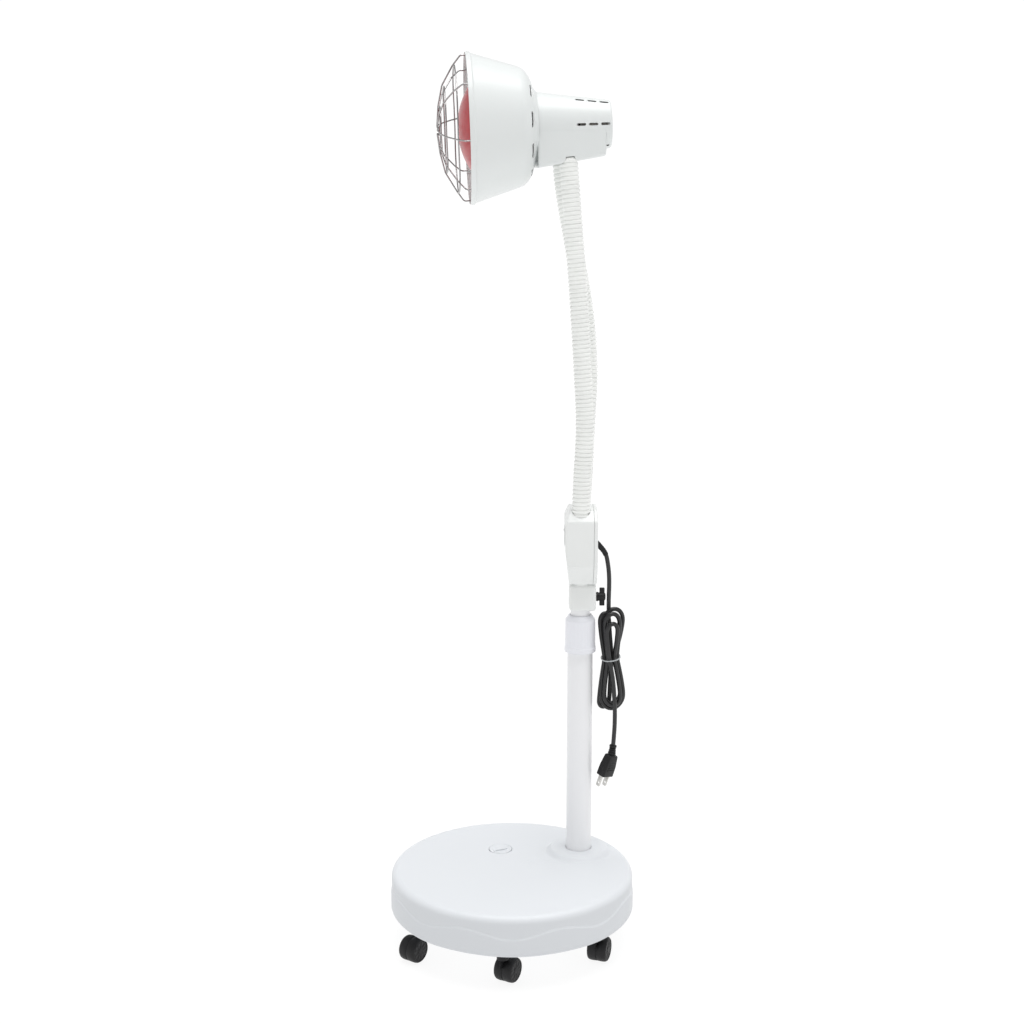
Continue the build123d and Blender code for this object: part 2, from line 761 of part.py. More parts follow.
# Each ring lies behind the wires: its name, distance ahead of the rim and radius.
guard_rings = [
    ("guard_ring_outer", 12.8, 73.8),
    ("guard_ring_middle", 25.7, 50.0),
    ("guard_ring_inner", 31.4, 27.0),
    ("guard_hub", 33.4, 6.0),
]
for name, distance, radius in guard_rings:
    with BuildPart() as guard_ring:
        with BuildSketch(profile):
            with Locations((-distance, radius)):
                Circle(WIRE_R)
        revolve(axis=head_axis)
    save(guard_ring, name)

with BuildPart() as guard_clips:
    for k in range(4):
        out = radial(SPOKE_TURN + 90.0 * k)
        flat = Plane(origin=ahead(-6.5) + out * 83.6, x_dir=back, z_dir=out)
        with BuildSketch(flat):
            Rectangle(7.0, 6.0)
        extrude(amount=0.8)
save(guard_clips, "guard_clips")

# --- cord, hanging in a tied hank with its plug --------------------------------------------------
gland_turn = math.radians(GLAND_ANGLE)
gland_dir = Vector(math.cos(gland_turn), 0, -math.sin(gland_turn))
gland_start = Vector(BOX_RIGHT + 0.7, CORD_Y, 504.6)
gland_end = gland_start + gland_dir * 7.5
first_point = gland_end + gland_dir * 9.0

with BuildPart() as cord_gland:
    with BuildSketch(Plane.YZ.offset(BOX_SEAM + 1.0)):
        with Locations((CORD_Y, 505.3)):
            Circle(5.0)
    extrude(amount=5.6)
    with BuildSketch(Plane(origin=gland_start, z_dir=gland_dir)):
        Circle(4.0)
    with BuildSketch(Plane(origin=gland_end, z_dir=gland_dir)):
        Circle(3.3)
    loft()
save(cord_gland, "cord_gland")


def cord_tube(points, name):
    """Straight runs joined by arcs that are as large as the runs allow."""
    corners = [Vector(*p) for p in points]
    radii = []
    for before, corner, after in zip(corners, corners[1:], corners[2:]):
        shorter = min((corner - before).length, (after - corner).length)
        turn = (corner - before).get_angle(after - corner)
        radii.append(0.45 * shorter / math.tan(math.radians(turn) / 2))
    with BuildPart() as tube:
        with BuildLine():
            route = FilletPolyline(*corners, radius=radii)
        with BuildSketch(Plane(origin=corners[0], z_dir=corners[1] - corners[0])):
            Circle(CORD_R)
        sweep(path=route)
    expected = math.pi * CORD_R**2 * route.length
    print(name, "radii", [round(r, 1) for r in radii])
    print(name, "length", round(route.length, 1), "volume", round(tube.part.volume), round(expected))
    save(tube, name)


HANK_TOP = 421.0
HANK_LOW = 286.0
HANK_HALF = 14.5
lead_points = [
    (gland_end.X, CORD_Y, gland_end.Z),
    (first_point.X, CORD_Y, first_point.Z),
    (119.8, CORD_Y, 479.5),
    (121.5, CORD_Y, 466.0),
    (121.9, CORD_Y, 451.0),
    (121.6, CORD_Y, 436.0),
    (121.9, CORD_Y, HANK_TOP),
]
tail_points = [
    (130.4, CORD_Y, HANK_LOW),
    (130.6, CORD_Y, 271.0),
    (130.2, CORD_Y, 255.0),
    (129.3, CORD_Y, 240.0),
]
cord_tube(lead_points, "cord_lead")
cord_tube(tail_points, "cord_tail")

with BuildPart() as cord_hank:
    with BuildSketch(Plane.XZ.offset(-CORD_Y)):
        with BuildLine():
            Polyline(
                (113.0, HANK_TOP - 7.0),
                (117.0, HANK_TOP),
                (134.0, HANK_TOP),
                (142.5, HANK_TOP - 9.0),
                (143.5, HANK_TOP - 28.0),
                (137.5, 360.0),
                (137.5, 352.0),
                (144.5, 322.0),
                (144.5, HANK_LOW + 14.0),
                (138.0, HANK_LOW),
                (114.0, HANK_LOW),
                (108.0, HANK_LOW + 10.0),
                (108.5, 325.0),
                (115.5, 352.0),
                (115.5, 360.0),
                (107.8, HANK_TOP - 25.0),
                close=True,
            )
        make_face()
        fillet(vertices(), 3.0)
    extrude(amount=HANK_HALF, both=True)
save(cord_hank, "cord_hank")

with BuildPart() as cord_tie:
    with BuildSketch(Plane.XY.offset(355.2)):
        with Locations((126.5, CORD_Y)):
            Rectangle(25.6, 2 * HANK_HALF + 3.6)
            Rectangle(22.4, 2 * HANK_HALF + 0.4, mode=Mode.SUBTRACT)
    extrude(amount=1.6)
save(cord_tie, "cord_tie")

plug_dir = Vector(-0.31, 0, -0.95).normalized()
relief_start = Vector(*tail_points[-1])
plug_start = Vector(127.2, CORD_Y, 226.0)
plug_turn = 45.0
with BuildPart() as plug_body:
    relief_dir = (plug_start - relief_start).normalized()
    with BuildSketch(Plane(origin=relief_start, z_dir=relief_dir)):
        Circle(CORD_R + 0.9)
    with BuildSketch(Plane(origin=plug_start, z_dir=relief_dir)):
        Circle(CORD_R + 2.8)
    loft()
    face = Plane(origin=plug_start, x_dir=(0, 1, 0), z_dir=plug_dir).rotated((0, 0, plug_turn))
    with BuildSketch(face.offset(-1.0)):
        RectangleRounded(15.0, 11.0, 4.0)
    with BuildSketch(face.offset(14.0)):
        RectangleRounded(20.0, 13.0, 4.0)
    loft()
    with BuildSketch(face.offset(14.0)):
        RectangleRounded(20.0, 13.0, 4.0)
    extrude(amount=13.5)
save(plug_body, "plug_body")

with BuildPart() as plug_blades:
    for across_plug in (6.35, -6.35):
        with BuildSketch(face.offset(27.55)):
            with Locations((across_plug, 0)):
                Rectangle(1.5, 6.3)
        extrude(amount=15.0)
save(plug_blades, "plug_blades")
print("gland end", gland_end, "plug face", face.origin + plug_dir * 27.5)
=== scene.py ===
"""Infrared lamp on a wheeled stand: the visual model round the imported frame. Metres, +Z up."""

import random
from math import acos, asin, atan, copysign, cos, degrees, hypot, pi, radians, sin, tan, tau

import bmesh
import bpy
from mathutils import Matrix, Vector


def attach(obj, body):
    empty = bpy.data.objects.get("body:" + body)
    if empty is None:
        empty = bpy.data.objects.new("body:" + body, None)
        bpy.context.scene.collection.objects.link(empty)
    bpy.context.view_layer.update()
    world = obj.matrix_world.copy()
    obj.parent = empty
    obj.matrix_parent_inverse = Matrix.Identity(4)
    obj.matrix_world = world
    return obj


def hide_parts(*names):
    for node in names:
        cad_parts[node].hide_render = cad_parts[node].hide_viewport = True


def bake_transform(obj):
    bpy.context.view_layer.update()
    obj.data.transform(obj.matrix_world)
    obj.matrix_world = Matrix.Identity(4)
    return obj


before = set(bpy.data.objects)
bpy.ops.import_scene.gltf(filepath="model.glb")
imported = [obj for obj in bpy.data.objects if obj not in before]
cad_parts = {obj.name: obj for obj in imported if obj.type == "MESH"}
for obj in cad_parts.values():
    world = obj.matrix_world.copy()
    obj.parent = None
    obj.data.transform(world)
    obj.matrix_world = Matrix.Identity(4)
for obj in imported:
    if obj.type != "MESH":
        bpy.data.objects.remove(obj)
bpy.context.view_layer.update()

MM = 0.001
SMOOTH = 35.0  # degrees: edges sharper than this stay sharp
WELD = 1e-6
random.seed(7)


# --- helpers: meshes ---
def smooth(obj, angle=SMOOTH):
    for polygon in obj.data.polygons:
        polygon.use_smooth = True
    obj.data.set_sharp_from_angle(angle=radians(angle))


def add_object(name, mesh, angle=SMOOTH):
    """Links a mesh as a new object, shaded smooth except at edges sharper than the angle."""
    obj = bpy.data.objects.new(name, mesh)
    bpy.context.scene.collection.objects.link(obj)
    smooth(obj, angle)
    return obj


def mesh_of(name, bm):
    """A mesh from a bmesh, which is freed."""
    mesh = bpy.data.meshes.new(name)
    bm.to_mesh(mesh)
    bm.free()
    return mesh


def mm(x, y, z):
    """A vector in metres from millimetres."""
    return Vector((x, y, z)) * MM


def new_object(name, verts, faces, sharp):
    """An object from points and faces, with doubled points joined and its faces turned outwards."""
    mesh = bpy.data.meshes.new(name)
    mesh.from_pydata([tuple(v) for v in verts], [], faces)
    mesh.validate()
    bm = bmesh.new()
    bm.from_mesh(mesh)
    bmesh.ops.remove_doubles(bm, verts=bm.verts, dist=WELD)
    bmesh.ops.recalc_face_normals(bm, faces=bm.faces)
    bm.to_mesh(mesh)
    bm.free()
    return add_object(name, mesh, sharp)


def rings_mesh(name, rings, closed=False, cap=False, matrix=None, sharp=SMOOTH):
    """A skin over rings of equally many points. closed joins the last ring to the first."""
    count = len(rings[0])
    verts = [Vector(p) for ring in rings for p in ring]
    if matrix is not None:
        verts = [matrix @ v for v in verts]
    faces = []
    rows = len(rings) if closed else len(rings) - 1
    for i in range(rows):
        low = i * count
        high = ((i + 1) % len(rings)) * count
        for j in range(count):
            k = (j + 1) % count
            faces.append((low + j, low + k, high + k, high + j))
    if cap:
        faces.append(tuple(range(count)))
        faces.append(tuple(range((len(rings) - 1) * count, len(rings) * count)))
    return new_object(name, verts, faces, sharp)


def lathe(name, profile, matrix, segments=128, closed=False, shape=None, sharp=SMOOTH):
    """Turns (along, radius) points, in millimetres, about the matrix's local x axis.
    shape(along, radius, angle) may move a point."""
    rings = []
    for along, radius in profile:
        ring = []
        for j in range(segments):
            angle = 2 * pi * j / segments
            a, r = (along, radius) if shape is None else shape(along, radius, angle)
            ring.append((a * MM, r * MM * cos(angle), r * MM * sin(angle)))
        rings.append(ring)
    return rings_mesh(name, rings, closed, False, matrix, sharp)


def rod(name, low, high, radius, matrix, segments):
    """A plain cylinder about the matrix's local x axis. Millimetres."""
    return lathe(name, [(low, 0), (low, radius), (high, radius), (high, 0)], matrix, segments)


def rounded(points, radius, steps):
    """A polyline in 2-D with its corners rounded by arcs. points hold (x, y) or (x, y, own radius)."""
    out = [Vector(points[0][:2])]
    for before, corner, after in zip(points, points[1:], points[2:]):
        b, c, a = Vector(before[:2]), Vector(corner[:2]), Vector(after[:2])
        want = corner[2] if len(corner) > 2 else radius
        into, outof = (c - b).normalized(), (a - c).normalized()
        turn = into.angle(outof, 0.0)
        if turn < 0.02 or want <= 0:
            out.append(c)
            continue
        reach = min(want * tan(turn / 2), 0.48 * (c - b).length, 0.48 * (a - c).length)
        start, end = c - into * reach, c + outof * reach
        for i in range(steps + 1):
            t = i / steps
            out.append(start * (1 - t) ** 2 + c * 2 * t * (1 - t) + end * t * t)
    out.append(Vector(points[-1][:2]))
    return [tuple(p) for p in out]


def inner(profile, wall):
    """The profile moved towards the axis by a wall, with its points in reverse."""
    moved = []
    for i, (a, r) in enumerate(profile):
        b = profile[max(i - 1, 0)]
        c = profile[min(i + 1, len(profile) - 1)]
        run = hypot(c[0] - b[0], c[1] - b[1]) or 1.0
        moved.append((a + wall * (c[1] - b[1]) / run, max(r - wall * (c[0] - b[0]) / run, 0.0)))
    return moved[::-1]


def spline(points, per_span):
    """A smooth curve through points, by Catmull-Rom."""
    pts = [Vector(p) for p in points]
    ends = [pts[0] * 2 - pts[1]] + pts + [pts[-1] * 2 - pts[-2]]
    out = []
    for i in range(1, len(ends) - 2):
        p0, p1, p2, p3 = ends[i - 1], ends[i], ends[i + 1], ends[i + 2]
        for n in range(per_span):
            t = n / per_span
            squared = (2 * p0 - 5 * p1 + 4 * p2 - p3) * t * t
            cubed = (3 * p1 - p0 - 3 * p2 + p3) * t**3
            out.append(0.5 * (2 * p1 + (p2 - p0) * t + squared + cubed))
    out.append(pts[-1])
    return out


def tube_rings(points, radius, segments):
    """Rings along a path, without twist. radius is a number or a function of the point's index."""
    rings = []
    normal = None
    for i, point in enumerate(points):
        before = points[max(i - 1, 0)]
        after = points[min(i + 1, len(points) - 1)]
        along = (after - before).normalized()
        if normal is None:
            normal = along.orthogonal().normalized()
        normal = (normal - along * normal.dot(along)).normalized()
        across = along.cross(normal)
        r = radius(i) if callable(radius) else radius
        turns = (2 * pi * j / segments for j in range(segments))
        rings.append([point + (normal * cos(t) + across * sin(t)) * r for t in turns])
    return rings


def tube(name, points, radius, segments, closed=False):
    return rings_mesh(name, tube_rings(points, radius, segments), closed, not closed)


def join(name, objects):
    """Joins objects into one mesh, keeping their materials."""
    bm = bmesh.new()
    materials = []
    for obj in objects:
        start = len(bm.faces)
        bm.from_mesh(obj.data)
        bm.faces.ensure_lookup_table()
        slots = [materials.index(m) if m in materials else -1 for m in obj.data.materials]
        for i, m in enumerate(obj.data.materials):
            if slots[i] < 0:
                materials.append(m)
                slots[i] = len(materials) - 1
        for face in bm.faces[start:]:
            face.material_index = slots[face.material_index] if slots else 0
    mesh = mesh_of(name, bm)
    for m in materials:
        mesh.materials.append(m)
    for obj in objects:
        bpy.data.objects.remove(obj)
    return add_object(name, mesh)


def cut(obj, cutters, operation="DIFFERENCE", sharp=SMOOTH):
    """Takes the cutters out of obj, or adds them to it, for good."""
    for cutter in cutters:
        modifier = obj.modifiers.new("cut", "BOOLEAN")
        modifier.operation = operation
        modifier.object = cutter
        modifier.solver = "EXACT"
    bpy.context.view_layer.update()
    made = obj.evaluated_get(bpy.context.evaluated_depsgraph_get())
    mesh = bpy.data.meshes.new_from_object(made)
    obj.modifiers.clear()
    obj.data = mesh
    for cutter in cutters:
        bpy.data.objects.remove(cutter)
    smooth(obj, sharp)
    return obj


def slot_cutter(name, centre, long_dir, out_dir, length, width, depth):
    """A round-ended bar, long along long_dir, reaching depth each way along out_dir. Metres."""
    across = out_dir.cross(long_dir).normalized()
    half = length / 2 - width / 2
    outline = []
    for end in (1, -1):
        for n in range(9):
            turn = pi * (n / 8 - 0.5)
            outline.append((end * (half + width / 2 * cos(turn)), end * width / 2 * sin(turn)))
    ends = [out_dir * depth * sign for sign in (-1, 1)]
    rings = [[centre + long_dir * u + across * v + end for u, v in outline] for end in ends]
    return rings_mesh(name, rings, False, True)


def trim(bm, point, normal):
    """Cuts a bmesh at a plane, drops the side of the normal, fills the cut and returns its edges."""
    geom = bm.verts[:] + bm.edges[:] + bm.faces[:]
    made = bmesh.ops.bisect_plane(bm, geom=geom, plane_co=point, plane_no=normal, clear_outer=True)
    edges = [e for e in made["geom_cut"] if isinstance(e, bmesh.types.BMEdge)]
    if edges:
        bmesh.ops.edgenet_fill(bm, edges=edges)
    return edges


def soften(bm, edges, offset, segments):
    bmesh.ops.bevel(
        bm, geom=edges, offset=offset, segments=segments, profile=0.5, affect="EDGES", clamp_overlap=True
    )


def convex(name, low, high, planes, bevel, segments):
    """A box from low to high cut by planes (point, outward normal), with its edges rounded. Metres."""
    bm = bmesh.new()
    bmesh.ops.create_cube(bm, size=1.0)
    for v in bm.verts:
        v.co = Vector([low[i] + (v.co[i] + 0.5) * (high[i] - low[i]) for i in range(3)])
    for point, normal in planes:
        trim(bm, point, normal)
    bmesh.ops.recalc_face_normals(bm, faces=bm.faces)
    soften(bm, bm.edges[:], bevel, segments)
    return add_object(name, mesh_of(name, bm), 40.0)


def slice_off(obj, point, normal, bevel):
    """Cuts obj at a plane, keeps the side away from the normal and softens the new edge."""
    bm = bmesh.new()
    bm.from_mesh(obj.data)
    edges = trim(bm, point, normal)
    rim = [e for e in edges if e.is_valid]
    bmesh.ops.recalc_face_normals(bm, faces=bm.faces)
    soften(bm, rim, bevel, 2)
    bm.to_mesh(obj.data)
    bm.free()
    smooth(obj, 40.0)


def axes_at(origin, x, y, z):
    """A matrix from an origin in metres and its three local axes."""
    m = Matrix((Vector(x), Vector(y), Vector(z))).transposed().to_4x4()
    m.translation = Vector(origin)
    return m


def place(origin, x_axis, z_hint=(0, 0, 1)):
    """A matrix whose local x runs along x_axis, with local z near z_hint. origin in metres."""
    x = Vector(x_axis).normalized()
    z = Vector(z_hint)
    z = (z - x * z.dot(x)).normalized()
    return axes_at(origin, x, z.cross(x), z)


def dress(obj, body, slot, materials, *replaced):
    """Gives a piece its materials, named by their keys, and its body, and hides the nodes it replaces. The
    slot is not used.
    """
    obj.data.materials.clear()
    for key in materials.split():
        obj.data.materials.append(MAT[key])
    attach(obj, body)
    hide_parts(*replaced)


# --- helpers: materials ---
def set_inputs(node, **values):
    """Sets a node's inputs to constants, an underscore standing for a space."""
    for name, value in values.items():
        node.inputs[name.replace("_", " ")].default_value = value


def base_material(name, colour, roughness, metallic=0.0):
    material = bpy.data.materials.new(name)
    material.use_nodes = True
    tree = material.node_tree
    shader = next(n for n in tree.nodes if n.type == "BSDF_PRINCIPLED")
    set_inputs(shader, Base_Color=(*colour, 1), Roughness=roughness, Metallic=metallic)
    return material, tree, shader


def noise(tree, scale, detail, stretch=(1, 1, 1)):
    """A noise over the object's own coordinates, scale in cells per metre."""
    coords = tree.nodes.new("ShaderNodeTexCoord")
    mapping = tree.nodes.new("ShaderNodeMapping")
    set_inputs(mapping, Scale=stretch)
    texture = tree.nodes.new("ShaderNodeTexNoise")
    set_inputs(texture, Scale=scale, Detail=detail)
    tree.links.new(coords.outputs["Object"], mapping.inputs["Vector"])
    tree.links.new(mapping.outputs["Vector"], texture.inputs["Vector"])
    return texture.outputs["Fac"]


NOISE_LOW, NOISE_HIGH = 0.3, 0.7  # a noise's values lie mostly between these


def ramp(tree, source, low, high):
    """Maps a noise to a colour between low and high."""
    node = tree.nodes.new("ShaderNodeValToRGB")
    stops = node.color_ramp.elements
    stops[0].position = NOISE_LOW
    stops[1].position = NOISE_HIGH
    stops[0].color = (*low, 1)
    stops[1].color = (*high, 1)
    tree.links.new(source, node.inputs["Fac"])
    return node.outputs["Color"]


def spread(tree, source, low, high):
    """Maps a noise to a value between low and high."""
    node = tree.nodes.new("ShaderNodeMapRange")
    set_inputs(node, From_Min=NOISE_LOW, From_Max=NOISE_HIGH, To_Min=low, To_Max=high)
    tree.links.new(source, node.inputs["Value"])
    return node.outputs["Result"]


def bump(tree, shader, layers):
    """layers are (height source, strength, distance in metres), one bump over the other."""
    normal = None
    for source, strength, distance in layers:
        node = tree.nodes.new("ShaderNodeBump")
        set_inputs(node, Strength=strength, Distance=distance)
        tree.links.new(source, node.inputs["Height"])
        if normal is not None:
            tree.links.new(normal, node.inputs["Normal"])
        normal = node.outputs["Normal"]
    tree.links.new(normal, shader.inputs["Normal"])


def clouded(tree, source, colour, less, more):
    """A colour that a noise varies between two shares of it."""
    low, high = (tuple(min(c * factor, 1) for c in colour) for factor in (less, more))
    return ramp(tree, source, low, high)


def scatter(shader, weight, radius):
    set_inputs(shader, Subsurface_Weight=weight, Subsurface_Radius=radius, Subsurface_Scale=1.0)


def coated(name, colour, roughness, grain, depth, coat, cloud, vary, sub=0.0, shine=0.5):
    """Moulded plastic or powder coat: faint clouding, orange peel and uneven gloss.
    grain and cloud are in cells per metre, depth in metres."""
    material, tree, shader = base_material(name, colour, roughness)
    clouds = noise(tree, cloud, 1)
    tree.links.new(clouded(tree, clouds, colour, 1 - vary, 1 + vary), shader.inputs["Base Color"])
    peel = noise(tree, grain, 2)
    swell = noise(tree, grain / 14, 2)
    gloss = spread(tree, noise(tree, cloud * 5, 1), roughness * 0.94, roughness * 1.08)
    tree.links.new(gloss, shader.inputs["Roughness"])
    bump(tree, shader, [(swell, 0.06, depth), (peel, 0.22, depth * 0.5)])
    set_inputs(shader, Specular_IOR_Level=shine, Coat_Weight=coat, Coat_Roughness=0.12)
    scatter(shader, sub, (0.004, 0.004, 0.004))
    return material


def metal(name, colour, roughness, stretch, grain, depth, tone):
    """Bare or plated metal, with drawn or rolled marks along the stretch."""
    material, tree, shader = base_material(name, colour, roughness, 1)
    marks = noise(tree, grain, 4, stretch)
    tree.links.new(clouded(tree, marks, colour, 1 - tone, 1 + tone), shader.inputs["Base Color"])
    tree.links.new(spread(tree, marks, roughness * 0.7, roughness * 1.5), shader.inputs["Roughness"])
    bump(tree, shader, [(marks, 0.3, depth)])
    return material


def ruby(name, colour, edge):
    """Ruby stained glass with a frosted inner face: fine stipple under a glossy coat, and a painted sheen: a
    paler red towards the edges, where the glass is seen edgewise.
    """
    material, tree, shader = base_material(name, colour, 0.32)
    stipple = noise(tree, 900, 3)
    clouds = noise(tree, 45, 4)
    # Painted sheen: the red is mixed towards the paler edge colour where the glass turns away from view.
    rim = tree.nodes.new("ShaderNodeLayerWeight")
    set_inputs(rim, Blend=0.35)
    mix = tree.nodes.new("ShaderNodeMix")
    mix.data_type = "RGBA"
    mix.inputs["B"].default_value = (*edge, 1)
    tree.links.new(rim.outputs["Facing"], mix.inputs["Factor"])
    tree.links.new(clouded(tree, clouds, colour, 0.85, 1.2), mix.inputs["A"])
    tree.links.new(mix.outputs["Result"], shader.inputs["Base Color"])
    bump(tree, shader, [(stipple, 0.5, 8e-5)])
    set_inputs(shader, Coat_Weight=0.25, Coat_Roughness=0.05)
    scatter(shader, 0.25, (0.006, 0.001, 0.001))
    return material


# Name, colour, roughness, grain, its depth, coat, cloud, its strength, subsurface share, specular level.
COATINGS = {
    "base": ("base_plastic", (0.66, 0.68, 0.705), 0.42, 900, 5e-5, 0, 5, 0.006, 0, 0.3),
    "pole": ("pole_paint", (0.855, 0.86, 0.875), 0.3, 1600, 3e-5, 0.2, 9, 0.004),
    "collar": ("collar_plastic", (0.82, 0.83, 0.875), 0.3, 1200, 4e-5, 0.2, 20, 0.006),
    "box": ("box_plastic", (0.815, 0.83, 0.82), 0.36, 2600, 5e-5, 0.05, 20, 0.006, 0, 0.4),
    "hose": ("hose_sleeve", (0.88, 0.89, 0.87), 0.4, 2200, 3e-5, 0, 40, 0.02, 0, 0.35),
    "shade": ("shade_paint", (0.745, 0.77, 0.765), 0.3, 1500, 3e-5, 0.05, 8, 0.004, 0, 0.35),
    "castor": ("castor_nylon", (0.012, 0.012, 0.013), 0.5, 1800, 6e-5, 0, 60, 0.25, 0, 0.3),
    "knob": ("knob_plastic", (0.010, 0.010, 0.011), 0.45, 2200, 5e-5, 0, 90, 0.2, 0, 0.3),
    "cord": ("cord_rubber", (0.011, 0.011, 0.012), 0.34, 3200, 4e-5, 0, 110, 0.25, 0, 0.55),
    "plug": ("plug_rubber", (0.010, 0.010, 0.011), 0.42, 2400, 6e-5, 0, 110, 0.25, 0, 0.3),
    "seal": ("seal_rubber", (0.05, 0.05, 0.05), 0.6, 3000, 5e-5, 0, 90, 0.2),
    "nylon": ("bush_nylon", (0.72, 0.72, 0.70), 0.4, 2000, 4e-5, 0.1, 60, 0.04, 0.1),
    "tie": ("tie_paper", (0.42, 0.44, 0.45), 0.6, 4000, 5e-5, 0, 200, 0.15),
    "sand": ("ballast_sand", (0.5, 0.42, 0.3), 0.9, 1400, 6e-4, 0, 700, 0.4),
    "ceramic": ("holder_ceramic", (0.8, 0.77, 0.71), 0.5, 1800, 8e-5, 0.2, 60, 0.06),
    # dark is painted shade: the near-black inside at the back of the shade and in the housing, where no light
    # reaches.
    "dark": ("inner_paint", (0.012, 0.012, 0.012), 0.7, 2000, 4e-5, 0, 60, 0.2, 0, 0.2),
}
# Name, colour, roughness, stretch of the marks, grain, its depth, tone.
METALS = {
    "chrome": ("guard_wire", (0.40, 0.39, 0.39), 0.2, (1, 1, 1), 700, 2e-5, 0.12),
    "steel": ("plated_steel", (0.56, 0.56, 0.57), 0.3, (1, 1, 6), 900, 2e-5, 0.1),
    "blade": ("plug_blade", (0.72, 0.71, 0.68), 0.25, (1, 6, 1), 900, 2e-5, 0.08),
    "thread": ("lamp_thread", (0.75, 0.75, 0.74), 0.3, (1, 1, 1), 600, 3e-5, 0.1),
    "silver": ("bulb_silvering", (0.86, 0.86, 0.86), 0.22, (1, 1, 1), 160, 3e-5, 0.05),
}
MAT = {key: coated(*row) for key, row in COATINGS.items()}
MAT |= {key: metal(*row) for key, row in METALS.items()}
# The second colour is a painted sheen for the bulb's edges.
MAT["ruby"] = ruby("bulb_ruby", (0.45, 0.006, 0.012), (0.50, 0.05, 0.065))

# --- camera, lights and floor ---
LENS = 59.77
CAMERA_AT = (0, -2.018, 0.969)
CAMERA_TILT = radians(78.4)
SKY_STOPS = ((0.10, 1.04), (0.30, 0.52))  # height in the sky, brightness
SUN_FROM = Vector((0.08, -0.02, 0.99))
SUN_STRENGTH, SUN_ANGLE = 2.55, radians(50)
FLOOR_Z = -0.0002
FLOOR_GLOW = 0.90

scene = bpy.context.scene
scene.view_settings.view_transform = "Standard"

camera_data = bpy.data.cameras.new("camera")
camera_data.sensor_width = 36
camera_data.lens = LENS
camera = bpy.data.objects.new("camera", camera_data)
camera.location = CAMERA_AT
camera.rotation_euler = (CAMERA_TILT, 0, 0)
scene.collection.objects.link(camera)
scene.camera = camera

world = bpy.data.worlds.new("studio")
world.use_nodes = True
sky = world.node_tree
sky_coords = sky.nodes.new("ShaderNodeTexCoord")
sky_height = sky.nodes.new("ShaderNodeSeparateXYZ")
sky_ramp = sky.nodes.new("ShaderNodeValToRGB")
sky_ramp.color_ramp.interpolation = "EASE"
for stop, (height, level) in zip(sky_ramp.color_ramp.elements, SKY_STOPS):
    stop.position = height
    stop.color = (level, level, level, 1)
sky.links.new(sky_coords.outputs["Generated"], sky_height.inputs["Vector"])
sky.links.new(sky_height.outputs["Z"], sky_ramp.inputs["Fac"])
sky.links.new(sky_ramp.outputs["Color"], sky.nodes["Background"].inputs["Color"])
scene.world = world

sun_data = bpy.data.lights.new("top_sun", "SUN")
sun_data.energy = SUN_STRENGTH
sun_data.angle = SUN_ANGLE
sun = bpy.data.objects.new("top_sun", sun_data)
sun.rotation_euler = (-SUN_FROM).to_track_quat("-Z", "Y").to_euler()
scene.collection.objects.link(sun)


def circle(radius, count):
    return [(radius * cos(t), radius * sin(t)) for t in (tau * n / count for n in range(count))]


floor_rings = [[(x, y, FLOOR_Z) for x, y in circle(radius, 48)] for radius in (0.001, 1, 5, 30, 200)]
floor = rings_mesh("studio_floor", floor_rings)
floor_material, floor_tree, floor_shader = base_material("studio_floor", (0.12, 0.12, 0.12), 0.7)
floor_grey = ramp(floor_tree, noise(floor_tree, 2, 3), (0.11, 0.11, 0.11), (0.13, 0.13, 0.13))
floor_tree.links.new(floor_grey, floor_shader.inputs["Base Color"])
set_inputs(floor_shader, Specular_IOR_Level=0.0, Emission_Color=(1, 1, 1, 1), Emission_Strength=FLOOR_GLOW)
floor.data.materials.append(floor_material)

# --- driving places, in millimetres, as the CAD has them ---
MID = 51  # the y of the pole, the control box and the cord
POLE = (86, MID)
POLE_R = 16
POLE_BORE = 14.4
CAP_AT = (-15, 56)
CAP_R = 14.5
RIM = mm(-53, 43.5, 1008.5)
YAW, RISE = radians(3.6), radians(2)
BACK = Vector((cos(YAW) * cos(RISE), sin(YAW) * cos(RISE), sin(RISE)))
SIDE = Vector((sin(YAW), -cos(YAW), 0))
UP = SIDE.cross(BACK)
HEAD = place(RIM, BACK, UP)
CORD_RADIUS = 2.8 * MM


def upright(x, y):
    """A lathe frame that stands at a point in the floor plane, its axis upwards."""
    return place((x * MM, y * MM, 0), (0, 0, 1), (0, 1, 0))


def radial(angle):
    turn = radians(angle)
    return SIDE * cos(turn) + UP * sin(turn)


def head_point(behind, angle, radius):
    return RIM + BACK * behind * MM + radial(angle) * radius * MM


def prism(name, outline, low, high, matrix=None, bevel=0.0, segments=2):
    """A 2-D outline in millimetres, drawn out between two local heights, with its edges softened."""
    bm = bmesh.new()
    lower = [bm.verts.new((x * MM, y * MM, low * MM)) for x, y in outline]
    upper = [bm.verts.new((x * MM, y * MM, high * MM)) for x, y in outline]
    bm.faces.new(lower)
    bm.faces.new(upper)
    for i in range(len(outline)):
        j = (i + 1) % len(outline)
        bm.faces.new((lower[i], lower[j], upper[j], upper[i]))
    bmesh.ops.recalc_face_normals(bm, faces=bm.faces)
    if bevel:
        sharp = [e for e in bm.edges if e.calc_face_angle(0) > radians(30)]
        soften(bm, sharp, bevel * MM, segments)
    mesh = mesh_of(name, bm)
    if matrix is not None:
        mesh.transform(matrix)
    return add_object(name, mesh)


def rectangle(width, height, corner=0.0, steps=5):
    """A centred rectangle's outline, with round corners."""
    points = []
    for n, (sx, sy) in enumerate(((1, 1), (-1, 1), (-1, -1), (1, -1))):
        x, y = sx * (width / 2 - corner), sy * (height / 2 - corner)
        for i in range(steps + 1) if corner else (0,):
            turn = pi / 2 * (n + i / steps)
            points.append((x + corner * cos(turn), y + corner * sin(turn)))
    return points


